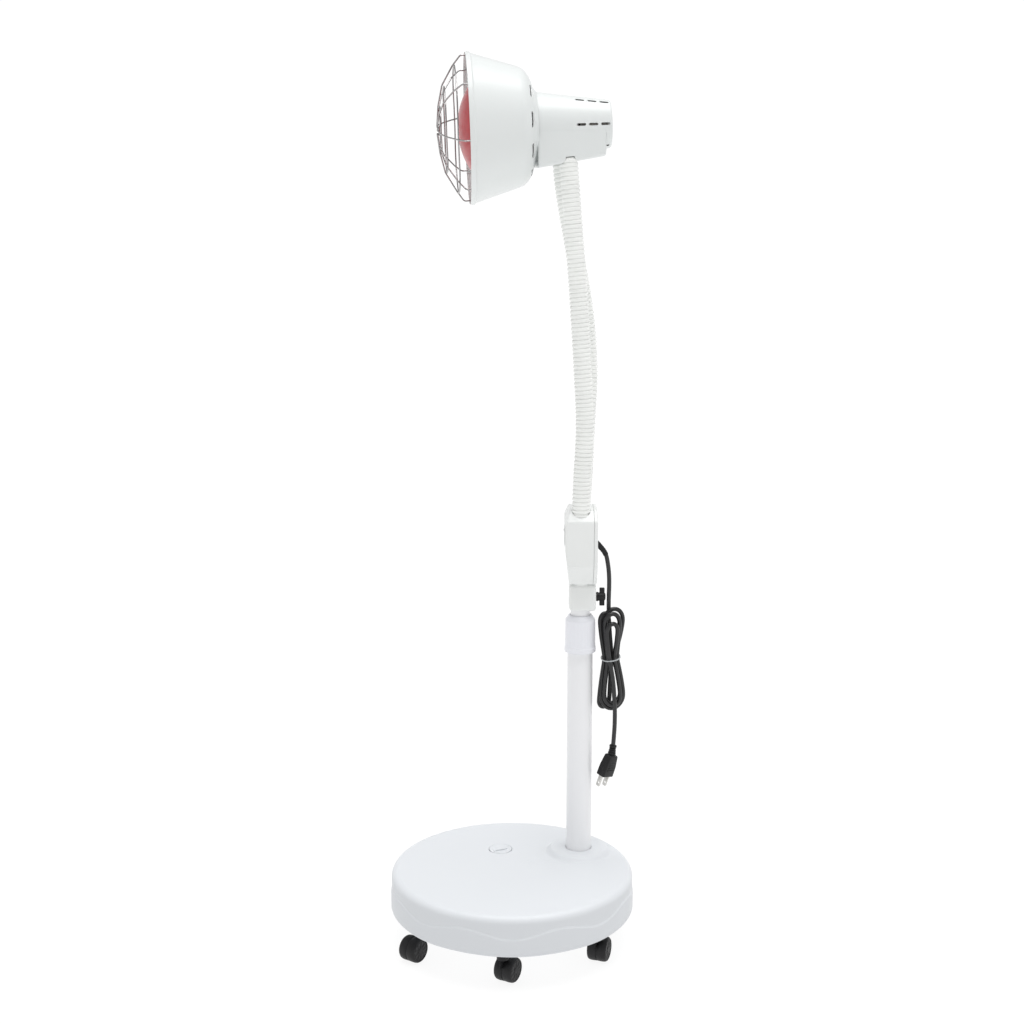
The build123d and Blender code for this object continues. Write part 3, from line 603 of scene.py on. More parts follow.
# --- the cord, with its hank ---
LEAD = [(0.1112, 0.051, 0.499), (0.1172, 0.051, 0.4923), (0.1198, 0.051, 0.4795), (0.1215, 0.051, 0.466)]
LEAD += [(0.1219, 0.051, 0.451), (0.1216, 0.053, 0.436), (0.1219, 0.059, 0.421)]
TAIL = [(0.1304, 0.0415, 0.286), (0.1306, 0.045, 0.271), (0.1302, 0.049, 0.255), (0.1293, 0.051, 0.24)]
WAIST_Z = 357
LAYER = 5.7
HANK_Y = [MID + LAYER * (2 - k) for k in range(5)]
# Each lobe: the x it starts from, the x it ends at, its tip's x, the height of its sides, its tip's height.
BOTTOM_LOBES = [
    (113.4, 138.2, 127, 309, 292.5),
    (110.8, 124, 116.2, 299, 289.5),
    (112.8, 141.6, 126, 308, 289),
    (116.5, 137.2, 128, 309, 295),
]
TOP_LOBES = [
    (140.4, 114.4, 129, 401, 418),
    (122.6, 110.6, 116.6, 403, 413.5),
    (135.6, 116.6, 126.4, 401, 414.5),
    (132.8, 118.8, 126.6, 392, 403),
]
UP_WAIST = (130.5, 126.5, 132.4, 128.6)
DOWN_WAIST = (124, 118, 117, 121.5, 122.6)


def hank_points():
    """The hank's turns: down the left, round the bottom, up the right and over the top, layer by layer."""
    points = []

    def add(x, y, z):
        points.append((x * MM, y * MM, z * MM))

    def strand(x_from, z_from, x_waist, x_to, z_to, y):
        """From one lobe's side through the tied waist to the next lobe's side."""
        for part in (0.35, 0.72):
            add(x_from + (x_waist - x_from) * part**1.3, y, z_from + (WAIST_Z - z_from) * part)
        add(x_waist, y, WAIST_Z)
        for part in (0.28, 0.65):
            add(x_to + (x_waist - x_to) * (1 - part) ** 1.3, y, WAIST_Z + (z_to - WAIST_Z) * part)

    def lobe(start, end, tip, side_z, tip_z, y_start, y_end):
        steps = 7
        for i in range(steps + 1):
            turn = pi * i / steps
            part = (1 - cos(turn)) / 2
            x = start + (end - start) * part + (tip - (start + end) / 2) * sin(turn)
            add(x, y_start + (y_end - y_start) * part, side_z + (tip_z - side_z) * sin(turn))

    strand(122.2, 408, DOWN_WAIST[0], BOTTOM_LOBES[0][0], BOTTOM_LOBES[0][3], HANK_Y[0])
    for k, (bottom, top) in enumerate(zip(BOTTOM_LOBES, TOP_LOBES)):
        lobe(*bottom, HANK_Y[k], HANK_Y[k])
        strand(bottom[1], bottom[3], UP_WAIST[k], top[0], top[3], HANK_Y[k])
        lobe(*top, HANK_Y[k], HANK_Y[k + 1])
        if k + 1 < len(BOTTOM_LOBES):
            after = BOTTOM_LOBES[k + 1]
            strand(top[1], top[3], DOWN_WAIST[k + 1], after[0], after[3], HANK_Y[k + 1])
    strand(TOP_LOBES[-1][1], TOP_LOBES[-1][3], DOWN_WAIST[-1], 129.6, 312, HANK_Y[-1])
    add(129.8, HANK_Y[-1] - 0.2, 300)
    return points


cord_curve = bpy.data.curves.new("mains_cord", "CURVE")
cord_curve.dimensions = "3D"
cord_curve.bevel_depth = CORD_RADIUS
cord_curve.bevel_resolution = 5
cord_curve.resolution_u = 10
cord_curve.use_fill_caps = True
route = LEAD + hank_points() + TAIL
cord_spline = cord_curve.splines.new("NURBS")
cord_spline.points.add(len(route) - 1)
for point, place_at in zip(cord_spline.points, route):
    point.co = (*place_at, 1)
cord_spline.order_u = 3
cord_spline.use_endpoint_u = True
cord = bpy.data.objects.new("mains_cord", cord_curve)
scene.collection.objects.link(cord)


def route_line():
    """The cord's own line, read from its spline with no thickness."""
    bare = cord.copy()
    bare.data = cord.data.copy()
    bare.data.bevel_depth = 0
    scene.collection.objects.link(bare)
    bpy.context.view_layer.update()
    mesh = bpy.data.meshes.new_from_object(bare)
    line = [v.co.copy() for v in mesh.vertices]
    bpy.data.objects.remove(bare)
    return line


def point_at(line, distance):
    """The line's point at a distance from its start."""
    gone = 0
    for a, b in zip(line, line[1:]):
        step = (b - a).length
        if gone + step >= distance:
            return a + (b - a) * ((distance - gone) / step)
        gone += step
    return line[-1].copy()


line = route_line()
dress(cord, "control_box", "cord_black", "cord", "cord_lead", "cord_hank", "cord_tail")

# The strain relief: a collar in the cover and a slim taper along the cord's first stretch.
GLAND_BENDS = ((102.2, 505.9), (104.6, 505.3), (106.6, 503.7), (109, 501.3), (110.6, 499.6))
gland_path = [mm(x, MID, z) for x, z in GLAND_BENDS]
gland_path += [point_at(line, s) for s in (0.002, 0.005, 0.008, 0.011)]
gland_line = spline(gland_path, 4)


def gland_radius(i):
    part = i / (len(gland_line) - 1)
    ribbed = 0.22 * (1 if 0.35 < part < 0.9 and i % 4 < 2 else 0)
    return (4.1 - 0.85 * part**0.8 - ribbed) * MM


gland = tube("strain_relief", gland_line, gland_radius, 32)
dress(gland, "control_box", "cord_black", "plug", "cord_gland")

# The wire tie round the hank's waist, with its two twisted ends.
TIE_X, TIE_Y = 124.7, MID
TIE_WIDE, TIE_DEEP = 11.8, 15.6
TIE_WIRE = 0.75
tie_path = []
for c, s in circle(1, 64):
    x = TIE_X + TIE_WIDE * copysign(abs(c) ** 0.75, c)
    y = TIE_Y + TIE_DEEP * copysign(abs(s) ** 0.75, s)
    tie_path.append(Vector((x, y, WAIST_Z + 0.12 * (x - TIE_X) - 0.9 * (1 - abs(c)))) * MM)
tie_loop = tube("tie_loop", tie_path, TIE_WIRE * MM, 10, True)
tie_ends = []
for start in (0, pi):
    twist = []
    for t in (n / 21 for n in range(22)):
        angle = 5 * t * pi + start
        out = TIE_WIRE + (1.6 * max(0, t - 0.75) * 4)
        x, y = 127.5 + 6.5 * t, 67 + 3 * t
        twist.append(Vector((x, y + out * cos(angle), WAIST_Z + 0.5 + out * sin(angle))) * MM)
    tie_ends.append(tube("tie_end", twist, 0.7 * MM, 8))
tie = join("wire_tie", [tie_loop] + tie_ends)
dress(tie, "control_box", "tie_grey", "tie", "cord_tie")

# The plug: ribbed relief, wedge-shaped body and two flat blades.
plug_z = Vector((-0.31, 0, -0.95)).normalized()
across = Vector((0, 1, 0))
PLUG_TURN = radians(45)
plug_x = across * cos(PLUG_TURN) + plug_z.cross(across) * sin(PLUG_TURN)
plug_y = plug_z.cross(plug_x)
plug_start = mm(127.2, MID, 226)
PLUG = axes_at(plug_start, plug_x, plug_y, plug_z)

relief_start = mm(129.3, MID, 240)
relief = place(relief_start, plug_start - relief_start, (0, 1, 0))
relief_profile = [(-0.6, 0), (-0.6, 3), (0, 4.6), (1.9, 4.8), (2.5, 4.2), (2.8, 3.5)]
for n in range(4):
    start, low, high = 3.2 + 2.9 * n, 0.35 * n, 0.4 * n
    relief_profile += [(start, 3.5 + low), (start + 0.5, 4.3 + high)]
    relief_profile += [(start + 1.6, 4.4 + high), (start + 2.1, 3.6 + low)]
relief_profile += [(16, 5.2), (16, 0)]
plug_relief = lathe("plug_relief", relief_profile, relief, 40)

# Height along the plug, width, depth, corner radius.
sections = [
    (-1, 13.6, 9.6, 1.8),
    (-0.5, 14.8, 10.8, 2),
    (0.4, 15.4, 11.3, 2),
    (14, 19.6, 12.9, 2),
    (20, 20, 13, 2),
    (26.6, 20, 13, 2),
    (27.2, 19.7, 12.7, 1.9),
    (27.5, 19, 12, 1.6),
]
body_rings = [
    [(x * MM, y * MM, height * MM) for x, y in rectangle(width, depth, corner)]
    for height, width, depth, corner in sections
]
plug_shell = rings_mesh("plug_shell", body_rings, False, True, PLUG, 30)
grip_bars = []
for side in (1, -1):
    for at in (9 + 3.2 * n for n in range(4)):
        width = 15.4 + (at - 0.4) * 0.31
        depth = 11.3 + (at - 0.4) * 0.118
        bar = prism("grip", rectangle(width * 0.55, 1.2, 0.55, 3), 0, 0.55)
        bar_at = Matrix.Translation((0, side * (depth / 2 - 0.15) * MM, at * MM))
        bar.data.transform(PLUG @ bar_at @ Matrix.Rotation(-side * pi / 2, 4, "X"))
        grip_bars.append(bar)
plug = join("mains_plug", [plug_relief, plug_shell] + grip_bars)
dress(plug, "control_box", "cord_black", "plug", "plug_body")

blades = []
outline = [(-3.15, 27.3), (3.15, 27.3), (3.15, 40.9), (2.2, 42.4), (-2.2, 42.4), (-3.15, 40.9)]
for offset in (6.35, -6.35):
    blade_frame = PLUG @ axes_at((offset * MM, 0, 0), (0, 1, 0), (0, 0, 1), (1, 0, 0))
    blade = prism("blade", outline, -0.75, 0.75, blade_frame, 0.22)
    hole_frame = blade_frame @ axes_at((0, 0.0378, 0), (0, 0, 1), (1, 0, 0), (0, 1, 0))
    hole = rod("hole", -2, 2, 1.55, hole_frame, 24)
    blades.append(cut(blade, [hole], sharp=30.0))
plug_blades = join("plug_prongs", blades)
dress(plug_blades, "control_box", "blade_brass", "blade", "plug_blades")

# --- base ---
BASE_R = 153
BASE_UPPER_R = 151.8
BASE_EDGE = 9
BASE_TOP = 97
BASE_FOOT = 47
WAVE_MEAN = 74
WAVE_RISE = 5
WAVES = 8

EDGE_TURNS = [pi / 2 * n / 10 for n in range(11)]
arc = [(BASE_TOP - BASE_EDGE * (1 - cos(t)), BASE_UPPER_R - BASE_EDGE * (1 - sin(t))) for t in EDGE_TURNS]
LEDGE = ((2.2, BASE_UPPER_R), (1.2, BASE_UPPER_R + 0.07), (0.5, BASE_UPPER_R + 0.4))
LEDGE += ((-0.2, BASE_R - 0.4), (-1, BASE_R - 0.07), (-2.2, BASE_R))
ledge = [(WAVE_MEAN + rise, radius) for rise, radius in LEDGE]
wall = [(84, BASE_UPPER_R)] + ledge + [(60, BASE_R), (54, BASE_R), (50, BASE_R), (48.2, BASE_R - 0.5)]
foot = [(47.2, BASE_R - 1.6), (BASE_FOOT, BASE_R - 3), (BASE_FOOT, BASE_R - 4.6), (54, BASE_UPPER_R - 3.2)]
inside = [(84, BASE_UPPER_R - 3.2), (91, BASE_UPPER_R - 6), (93.8, BASE_UPPER_R - 13), (93.8, 0)]
base_profile = [(BASE_TOP, radius) for radius in (0, 60, 115, 132)] + arc + wall + foot + inside


def base_wave(along, radius, angle):
    """Moves the ledge up and down in waves, and fades out towards the base's top and foot."""
    if radius < BASE_UPPER_R - 0.01 and along > 60:
        return along, radius
    near = max(0, 1 - abs(along - WAVE_MEAN) / 14)
    lifted = along - WAVE_RISE * cos(WAVES * angle) * min(1, near * 1.6)
    if along < 52 and radius > BASE_UPPER_R - 1.7:
        lifted += 0.35 * (1 - cos(WAVES * angle))
    return lifted, radius


base = lathe("base_moulding", base_profile, upright(0, 0), 384, shape=base_wave)
# The boss swells gently out of the base: t runs from its foot to its flat top.
BOSS_FOOT_R, BOSS_TAPER, BOSS_HEIGHT = 43, 9, 5.5
boss_profile = [(92, 0), (92, BOSS_FOOT_R)]
for t in (n / 14 for n in range(15)):
    boss_profile.append((BASE_TOP - 0.3 + 5.8 * t * t * (3 - 2 * t), BOSS_FOOT_R - BOSS_TAPER * t))
boss_profile += [(BASE_TOP + BOSS_HEIGHT, 20), (BASE_TOP + BOSS_HEIGHT, 0)]
boss = lathe("boss", boss_profile, upright(*POLE), 160)
port_profile = [(85, 0), (85, CAP_R + 3.3), (93.5, CAP_R + 3.3), (95.5, CAP_R + 2.3), (95.5, 0)]
port = lathe("port", port_profile, upright(*CAP_AT), 96)
cut(base, [boss, port], "UNION")
pole_hole_profile = [(50, 0), (50, 16.4), (101.8, 16.4), (102.9, 17.4), (110, 17.4), (110, 0)]
pole_hole = lathe("pole_hole", pole_hole_profile, upright(*POLE), 96)
port_hole_profile = [(80, 0), (80, 11.9), (92.5, 11.9), (92.5, CAP_R + 0.5), (96.2, CAP_R + 0.5)]
port_hole_profile += [(97.1, CAP_R + 1.5), (99, CAP_R + 1.5), (99, 0)]
port_hole = lathe("port_hole", port_hole_profile, upright(*CAP_AT), 96)
cut(base, [pole_hole, port_hole])
dress(base, "root", "base_white", "base", "base_shell")

cap_profile = [(87, 9.6), (87, 11.5), (93.8, 11.6), (93.9, CAP_R - 0.4), (94.3, CAP_R), (96.6, CAP_R)]
cap_profile += [(97.15, CAP_R - 0.5), (97.15, CAP_R - 1.6), (96.7, CAP_R - 2.4), (95.9, 9.6), (95.3, 6)]
cap_profile += [(95.1, 0), (93, 0), (93, 8.8), (87.2, 9.3), (87, 9.6)]
cap = lathe("cap", cap_profile, upright(*CAP_AT), 96)
grip_at = Matrix.Translation((CAP_AT[0] * MM, CAP_AT[1] * MM, 0)) @ Matrix.Rotation(radians(25), 4, "Z")
grip = prism("grip", rectangle(20, 2.6, 1.2, 4), 94, 96.9, grip_at, 0.5)
cut(cap, [grip], "UNION")
dress(cap, "fill_cap", "base_white", "base", "fill_cap")

# --- castors ---
WHEEL_R = 15.5
TRAIL = 12
GAP = 0.35
CASTOR_SWIVELS = (-126, 60, 70, -118, -112, -106)
tread = [(GAP, 2.5), (GAP, 15.1), (GAP + 0.3, 15.3), (3.6, 15.42), (6, WHEEL_R), (8.6, 15.35), (10.4, 14.9)]
face = [(11.5, 14.1), (12, 13.2), (11.9, 12.7), (11.4, 12.3), (11.35, 11.7), (11.8, 11.2), (12.1, 10.4)]
hub_face = [(12.1, 8), (12.1, 5.6), (12, 5), (11.7, 4.6), (11.75, 4.2), (12.2, 3.8), (12.25, 2.4), (12.25, 0)]
wheel_profile = tread + face + hub_face + [(10, 0), (10, 2.5)]
FACE_RIBS = 9


def wheel_face(along, radius, angle):
    """Shallow ribs like spokes on the wheel's outer face."""
    if along > 11.6 and 5.2 < radius < 11:
        along -= 0.55 * (1 - max(0, cos(FACE_RIBS * angle / 2) ** 2) ** 3)
    return along, radius


def twin_wheel(k, matrix):
    halves = []
    for turn in (0, pi):
        half_frame = matrix @ Matrix.Rotation(turn, 4, "Z")
        halves.append(lathe("half", wheel_profile, half_frame, 72, True, wheel_face, 28))
    return join(f"castor_{k}_twin_wheel", halves + [rod("axle", -10.4, 10.4, 2.45, matrix, 32)])


STEM_R = 127  # the circle of the stems
STEM_TURNS = [radians(-155 + 60 * k) for k in range(6)]
BOSS = [(33, 0), (33, 6.6), (33.8, 7.4), (42, 7.5), (44.5, 6.6), (46.5, 6.2), (46.5, 0)]
PLATE = [(15.4 * cos(t), 15.4 * sin(t)) for t in (radians(-14 + 208 * n / 40) for n in range(41))]
PLATE += [(4.2 * cos(t), 4.2 * sin(t)) for t in (radians(200 + 140 * n / 8) for n in range(9))]
WEB = [(-19, 6), (-6, 9), (-6, 18), (-19, 18)]
HALF_PLATE = GAP - 0.1
for k, (stem_turn, swivel) in enumerate(zip(STEM_TURNS, CASTOR_SWIVELS), 1):
    stem = (STEM_R * cos(stem_turn), STEM_R * sin(stem_turn))
    turn = radians(swivel)
    trail = Vector((cos(turn), sin(turn), 0))
    axle_dir = Vector((-sin(turn), cos(turn), 0))
    hub = Vector((stem[0] * MM, stem[1] * MM, WHEEL_R * MM)) + trail * TRAIL * MM
    wheel = twin_wheel(k, place(hub, axle_dir))
    dress(wheel, f"castor_{k}_roller", "castor_black", "castor", f"castor_{k}_wheels")
    side_frame = axes_at(hub, trail, (0, 0, 1), trail.cross(Vector((0, 0, 1))))
    fork = prism("plate", PLATE, -HALF_PLATE, HALF_PLATE, side_frame)
    web = prism("web", WEB, -HALF_PLATE, HALF_PLATE, side_frame)
    cut(fork, [web, lathe("boss", BOSS, upright(*stem), 48)], "UNION", 30)
    cut(fork, [rod("bore", 34.8, 50, 4.05, upright(*stem), 32)], sharp=30.0)
    dress(fork, f"castor_{k}", "castor_black", "castor", f"castor_{k}_hood")

# --- pole and lock collar ---
outer_profile = [(54.2, POLE_R - 0.4), (54.6, POLE_R)] + [(54.6 + 51.7 * n, POLE_R) for n in range(1, 6)]
outer_profile += [(364.6, POLE_R), (365, POLE_R - 0.3), (365, POLE_BORE + 0.2), (364.6, POLE_BORE)]
outer_profile += [(54.6, POLE_BORE), (54.2, POLE_BORE + 0.3)]
outer = lathe("outer_tube", outer_profile, upright(*POLE), 128, closed=True)
dress(outer, "root", "pole_white", "pole", "outer_pole")
INNER_R, INNER_BORE = 12, 10.6
inner_profile = [(110, 11.7)] + [(height, INNER_R) for height in (110.4, 250, 349, 449.6)]
inner_profile += [(450, 11.7), (450, 10.8), (449.6, INNER_BORE), (110.4, INNER_BORE), (110, 10.8)]
inner_tube = lathe("inner_tube", inner_profile, upright(*POLE), 128, closed=True)
dress(inner_tube, "inner_pole", "pole_white", "pole", "inner_pole")

FLUTES = 24
FLUTES_FROM, FLUTES_TO = 373.5, 405.2
COLLAR_CORNER = 0.4
collar_points = [(365.6, POLE_R + 0.4), (365.6, 19.2, 0.5), (366, 19.8, 0.5), (371.4, 19.8, 0.6)]
collar_points += [(372.4, 19.2, 0.6), (374, 19.15), (376, 19.1), (390, 19), (403, 18.9), (405.5, 18.8)]
collar_points += [(407, 18.75, 1.5), (413, 14.6, 1.6), (413, 12.4)]
collar_profile = rounded(collar_points, COLLAR_CORNER, 3) + [(384.2, 12.4), (384, POLE_R + 0.4)]


def flutes(along, radius, angle):
    """Shallow grip flutes between the collar's two rims."""
    if radius > 18.7 and FLUTES_FROM < along < FLUTES_TO:
        fade = min(1, (along - FLUTES_FROM) / 2, (FLUTES_TO - along) / 2)
        radius -= 0.15 * fade * (0.5 + 0.5 * cos(FLUTES * angle)) ** 3
    return along, radius


collar = lathe("twist_collar", collar_profile, upright(*POLE), 288, closed=True, shape=flutes)
dress(collar, "lock_collar", "collar_white", "collar", "lock_collar")

# --- control box ---
def facing_right(x, y, z):
    """A lathe frame on the control box, its axis towards the cord's side. Millimetres."""
    return place((x * MM, y * MM, z * MM), (1, 0, 0))


BOX_LOW = mm(66, 13.5, 455)
BOX_HIGH = mm(105.5, 88.5, 551)


def box_plane(x, y, z, *outward):
    return Vector((x * MM, y * MM, z * MM)), Vector(outward).normalized()


box_planes = [
    box_plane(80, MID - 37.5, 539.5, 0, -11.5, 16.5),
    box_plane(80, MID + 37.5, 539.5, 0, 11.5, 16.5),
    box_plane(80, MID - 37.5, 483, 0, -28, -21.5),
    box_plane(80, MID + 37.5, 483, 0, 28, -21.5),
    box_plane(66, MID, 536, -15, 0, 4.5),
    box_plane(66, MID, 500, -45, 0, -5),
]
box = convex("box_casing", BOX_LOW, BOX_HIGH, box_planes, 3.2 * MM, 5)
cover = add_object("box_lid", box.data.copy())
SPLIT, HALF_SEAM, SEAM_EDGE = 100.7 * MM, 0.15 * MM, 0.3 * MM
slice_off(box, (SPLIT - HALF_SEAM, 0, 0), (1, 0, 0), SEAM_EDGE)
slice_off(cover, (SPLIT + HALF_SEAM, 0, 0), (-1, 0, 0), SEAM_EDGE)

HOSE_FEET = ((85, 30), (87.5, 72))
HOSE_HOLE = 11.4


def hose_holes():
    return [rod("hole", 538, 556, HOSE_HOLE, upright(x, y), 64) for x, y in HOSE_FEET]


socket_low, socket_high = mm(71.5, 35.5, 420), mm(104.9, 66.5, 454.6)
socket = convex("socket", socket_low, socket_high, [], 4.6 * MM, 6)
core = rod("core", 430, 462, 14.5, upright(*POLE), 96)
cut(box, [socket, core], "UNION", 40)
THUMB_Z = 436
SWITCH_AT = (66 * MM, MID * MM, 515 * MM)
screw_bore = rod("screw_bore", 0, 30, 3.3, facing_right(98, MID, THUMB_Z), 32)
tube_bore = rod("tube_bore", 415, 451, 12.1, upright(*POLE), 96)
hole_frame = axes_at(SWITCH_AT, (0, 0, 1), (0, -1, 0), (1, 0, 0))
switch_hole = prism("switch_hole", rectangle(21.2, 14.2, 0.8, 3), -8, 12, hole_frame)
cut(box, [screw_bore, tube_bore, switch_hole] + hose_holes(), sharp=40.0)
dress(box, "control_box", "box_white", "box", "box_shell")

cover_screws = [(MID + side * 30, height) for side in (-1, 1) for height in (492, 530)]
RECESS = [(-3, 0), (-3, 1.8), (4.2, 1.8), (4.2, 3.5), (5.2, 3.5), (6, 4.3), (8, 4.3), (8, 0)]
recesses = [lathe("recess", RECESS, facing_right(99.5, y, z), 48) for y, z in cover_screws]
gland_hole = rod("gland_hole", -3, 9, 4.6, facing_right(100, MID, 505.4), 48)
cut(cover, recesses + [gland_hole] + hose_holes(), sharp=40.0)
dress(cover, "control_box", "box_white", "box", "box_cover")

SCREW = [(-11, 0), (-11, 1.2), (-10, 1.5), (0, 1.5), (0, 3), (0.5, 3), (1, 2.6), (1.25, 1.8), (1.3, 0)]
screws = []
for n, (y, z) in enumerate(cover_screws):
    seat = facing_right(103.7, y, z)
    upwards = seat @ Matrix.Rotation(pi / 2, 4, "Y")
    turns = [Matrix.Rotation(radians(90 * a + 25 * n), 4, "Z") for a in range(2)]
    cross = [prism("blade", rectangle(3.6, 0.8), 0.45, 2, upwards @ turn) for turn in turns]
    screws.append(cut(lathe("head", SCREW, seat, 40), cross, sharp=30.0))
dress(join("cover_screws", screws), "control_box", "steel", "steel", "box_screws")

switch_frame = axes_at(SWITCH_AT, (0, 0, 1), (0, 1, 0), (-1, 0, 0))
bezel = prism("switch_bezel", rectangle(22.8, 15.8, 1, 4), 0.05, 0.95, switch_frame, 0.35, 3)
barrel = prism("barrel", rectangle(20.6, 13.6, 0.6, 3), -13.6, 0.4, switch_frame)
cut(bezel, [barrel], "UNION", 30)
well = prism("well", rectangle(16.4, 9.4, 0.5, 3), -9.6, 3, switch_frame)
cut(bezel, [well], sharp=30.0)
dress(bezel, "control_box", "box_white", "box", "switch_body")
rocker_frame = axes_at(SWITCH_AT, (-1, 0, 0), (0, 0, 1), (0, 1, 0))
rocker_outline = [(0.6, -7), (0.1, -4), (-0.5, 0), (0.4, 3.4), (2.2, 7), (-3, 6.6), (-6.5, 0), (-3, -6.6)]
rocker = prism("rocker_key", rocker_outline, -4.3, 4.3, rocker_frame, 0.5, 3)
dress(rocker, "switch_rocker", "box_white", "box", "switch_rocker")

knob_frame = facing_right(86.3, MID, THUMB_Z)
hub_profile = [(19.4, 0), (19.4, 5.4), (19.9, 5.9), (21.4, 5.9), (21.9, 5.3), (24.4, 5.2), (29.4, 4.9)]
knob_hub = lathe("knob_hub", hub_profile + [(30.6, 4.2), (31, 3), (31, 0)], knob_frame, 64)
WING = [(3.8, -3), (6, -2), (9.6, -2.6), (11.4, -1.9)]  # one wing's lower edge
wing_outline = [(0, -3.4)] + WING + [(x, -y) for x, y in reversed(WING)] + [(0, 3.4)]
wing_outline = rounded(wing_outline, 0.9, 4)
wing_outline += [(-x, y) for x, y in reversed(wing_outline[1:-1])]
wing_frame = knob_frame @ axes_at((0, 0, 0), (0, 0, 1), (0, -1, 0), (1, 0, 0))
wings = prism("wings", wing_outline, 23.4, 29.8, wing_frame, 0.7, 3)
cut(knob_hub, [wings], "UNION")
dress(knob_hub, "thumb_screw", "castor_black", "knob", "thumb_knob")

# --- twin gooseneck ---
HOSE_R = 11.3
GROOVE = 1.7
PITCH = 5.1
HOSE_LOW, HOSE_RUN, BENDS = 551, 418, 6
HOSE_LEVELS = [HOSE_LOW] + [HOSE_LOW + (k + 0.5) * HOSE_RUN / BENDS for k in range(BENDS)]
HOSE_LEVELS.append(HOSE_LOW + HOSE_RUN)
RING_STEPS = 8
NEAR_X = (85, 85.7, 88.6, 85.3, 80.8, 75.6, 69.8, 66.9)
FAR_X = (87.5, 89.7, 92.5, 94.6, 88.4, 76, 63.6, 60)


def hose_line(xs, y):
    """The hose's middle line, evenly stepped, from inside the box to inside the mount block."""
    points = [Vector((x, y, z)) for x, z in zip(xs, HOSE_LEVELS)]
    points[0] += (points[0] - points[1]).normalized() * 9
    points[-1] += (points[-1] - points[-2]).normalized() * 6.5
    fine = spline(points, 60)
    step = PITCH / RING_STEPS
    line, carried = [fine[0]], 0
    for a, b in zip(fine, fine[1:]):
        run = (b - a).length
        while carried + run >= step:
            a = a + (b - a).normalized() * (step - carried)
            run = (b - a).length
            carried = 0
            line.append(a)
        carried += run
    return line


def hose_radius(i):
    """Rounded rings with narrow grooves between them."""
    swell = abs(sin(pi * (i % RING_STEPS) / RING_STEPS)) ** 0.6
    return (HOSE_R - GROOVE * (1 - swell)) * MM


def ring_near(line, height):
    """The index of the groove that is nearest to a height."""
    return min(range(0, len(line), RING_STEPS), key=lambda i: abs(line[i].z - height))


hose_lines = [hose_line(NEAR_X, HOSE_FEET[0][1]), hose_line(FAR_X, HOSE_FEET[1][1])]
hose_rings = [tube_rings([p * MM for p in line], hose_radius, 40) for line in hose_lines]
middles = [(a + b) / 2 for a, b in zip(HOSE_LEVELS[1:-1], HOSE_LEVELS[2:-1])]
for k in range(BENDS):
    parts = []
    for line, rings in zip(hose_lines, hose_rings):
        first = 0 if k == 0 else ring_near(line, middles[k - 1])
        last = len(line) - 1 if k == BENDS - 1 else ring_near(line, middles[k])
        parts.append(rings_mesh("part", rings[first : last + 1], False, True, sharp=60.0))
    hose = join(f"gooseneck_{k + 1}", parts)
    smooth(hose, 70)
    hose.data.materials.clear()
    hose.data.materials.append(MAT["hose"])
    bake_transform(hose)
    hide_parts(*([f"hoses_{k + 1}"] if k < BENDS - 1 else ["hoses_6", "hoses_7"]))

# --- lamp head ---
METAL = 1.2


def sheet(name, outline, segments, closed=True, sharp=30):
    """A turned sheet-metal or glass wall, METAL thick, inside an outline."""
    return lathe(name, outline + inner(outline, METAL), HEAD, segments, closed, sharp=sharp)


def give_painted_shade_inside(obj, from_behind):
    """Gives the second material, a near-black painted shade, to the faces that look inwards, from a distance
    behind the rim, so that the slots and vents look dark.
    """
    for polygon in obj.data.polygons:
        reach = polygon.center - RIM
        behind = reach.dot(BACK)
        out = (reach - BACK * behind).normalized()
        if behind > from_behind * MM and polygon.normal.dot(out + BACK * 0.6) < 0:
            polygon.material_index = 1


shade_points = [(0, 87.7), (0, 88.88, 0.7), (5.2, 88.8, 0.8), (6.8, 86.9, 1)]
shade_points += [(67, 68.2, 18), (74.4, 57.6, 12), (78.8, 45.4, 5), (81.8, 41.4)]
shade = sheet("shade_shell", rounded(shade_points, 1, 10), 256)
SLOT = (19 * MM, 5.6 * MM, 12 * MM)  # length, width, reach
VENT = (11 * MM, 3 * MM, 9 * MM)
slots = []
for k in range(10):
    turn = 79 - 36 * k
    slot_at = head_point(72, turn, 57)
    slots.append(slot_cutter("slot", slot_at, radial(turn + 90), BACK, *SLOT))
cut(shade, slots, sharp=30.0)
# The shade's inside behind the slots is painted shade.
dress(shade, "head", "shade_white", "shade dark", "shade")
give_painted_shade_inside(shade, 50)

CONE_FROM, CONE_TO = 81.5, 168.4
CONE_WIDE, CONE_NARROW = 40, 28
housing_points = [(78, 40.1), (CONE_FROM, CONE_WIDE, 2), (CONE_TO, CONE_NARROW, 1.2), (170, 26.7)]
housing = sheet("lamp_housing", rounded(housing_points, 1, 6), 192)
vents = []
for turn in range(0, 360, 60):
    for behind in (132.5, 147, 161.5):
        vent_at = head_point(behind, turn, 30)
        vents.append(slot_cutter("vent", vent_at, BACK, radial(turn), *VENT))
cut(housing, vents, sharp=30.0)
# The housing's inside is painted shade, so the vents look black.
dress(housing, "head", "shade_white", "shade dark", "rear_housing")
give_painted_shade_inside(housing, 60)

end_profile = [(165, 0), (165, 26), (165.3, 26.3), (167, 26.3), (167, 24.6), (166.4, 23.6)]
end_plate = lathe("end_plate", end_profile + [(166.4, 9), (167, 8), (167, 0)], HEAD, 96)
breathers = [
    rod("breather", 160, 170, 2, HEAD @ Matrix.Translation((0, y, z)), 24) for y, z in circle(14 * MM, 6)
]
cut(end_plate, breathers, sharp=30.0)
dress(end_plate, "head", "shade_white", "shade", "end_cap")


def cone_radius(behind):
    """The housing's outer radius along its tapered part."""
    return CONE_WIDE - (behind - CONE_FROM) * (CONE_WIDE - CONE_NARROW) / (CONE_TO - CONE_FROM)


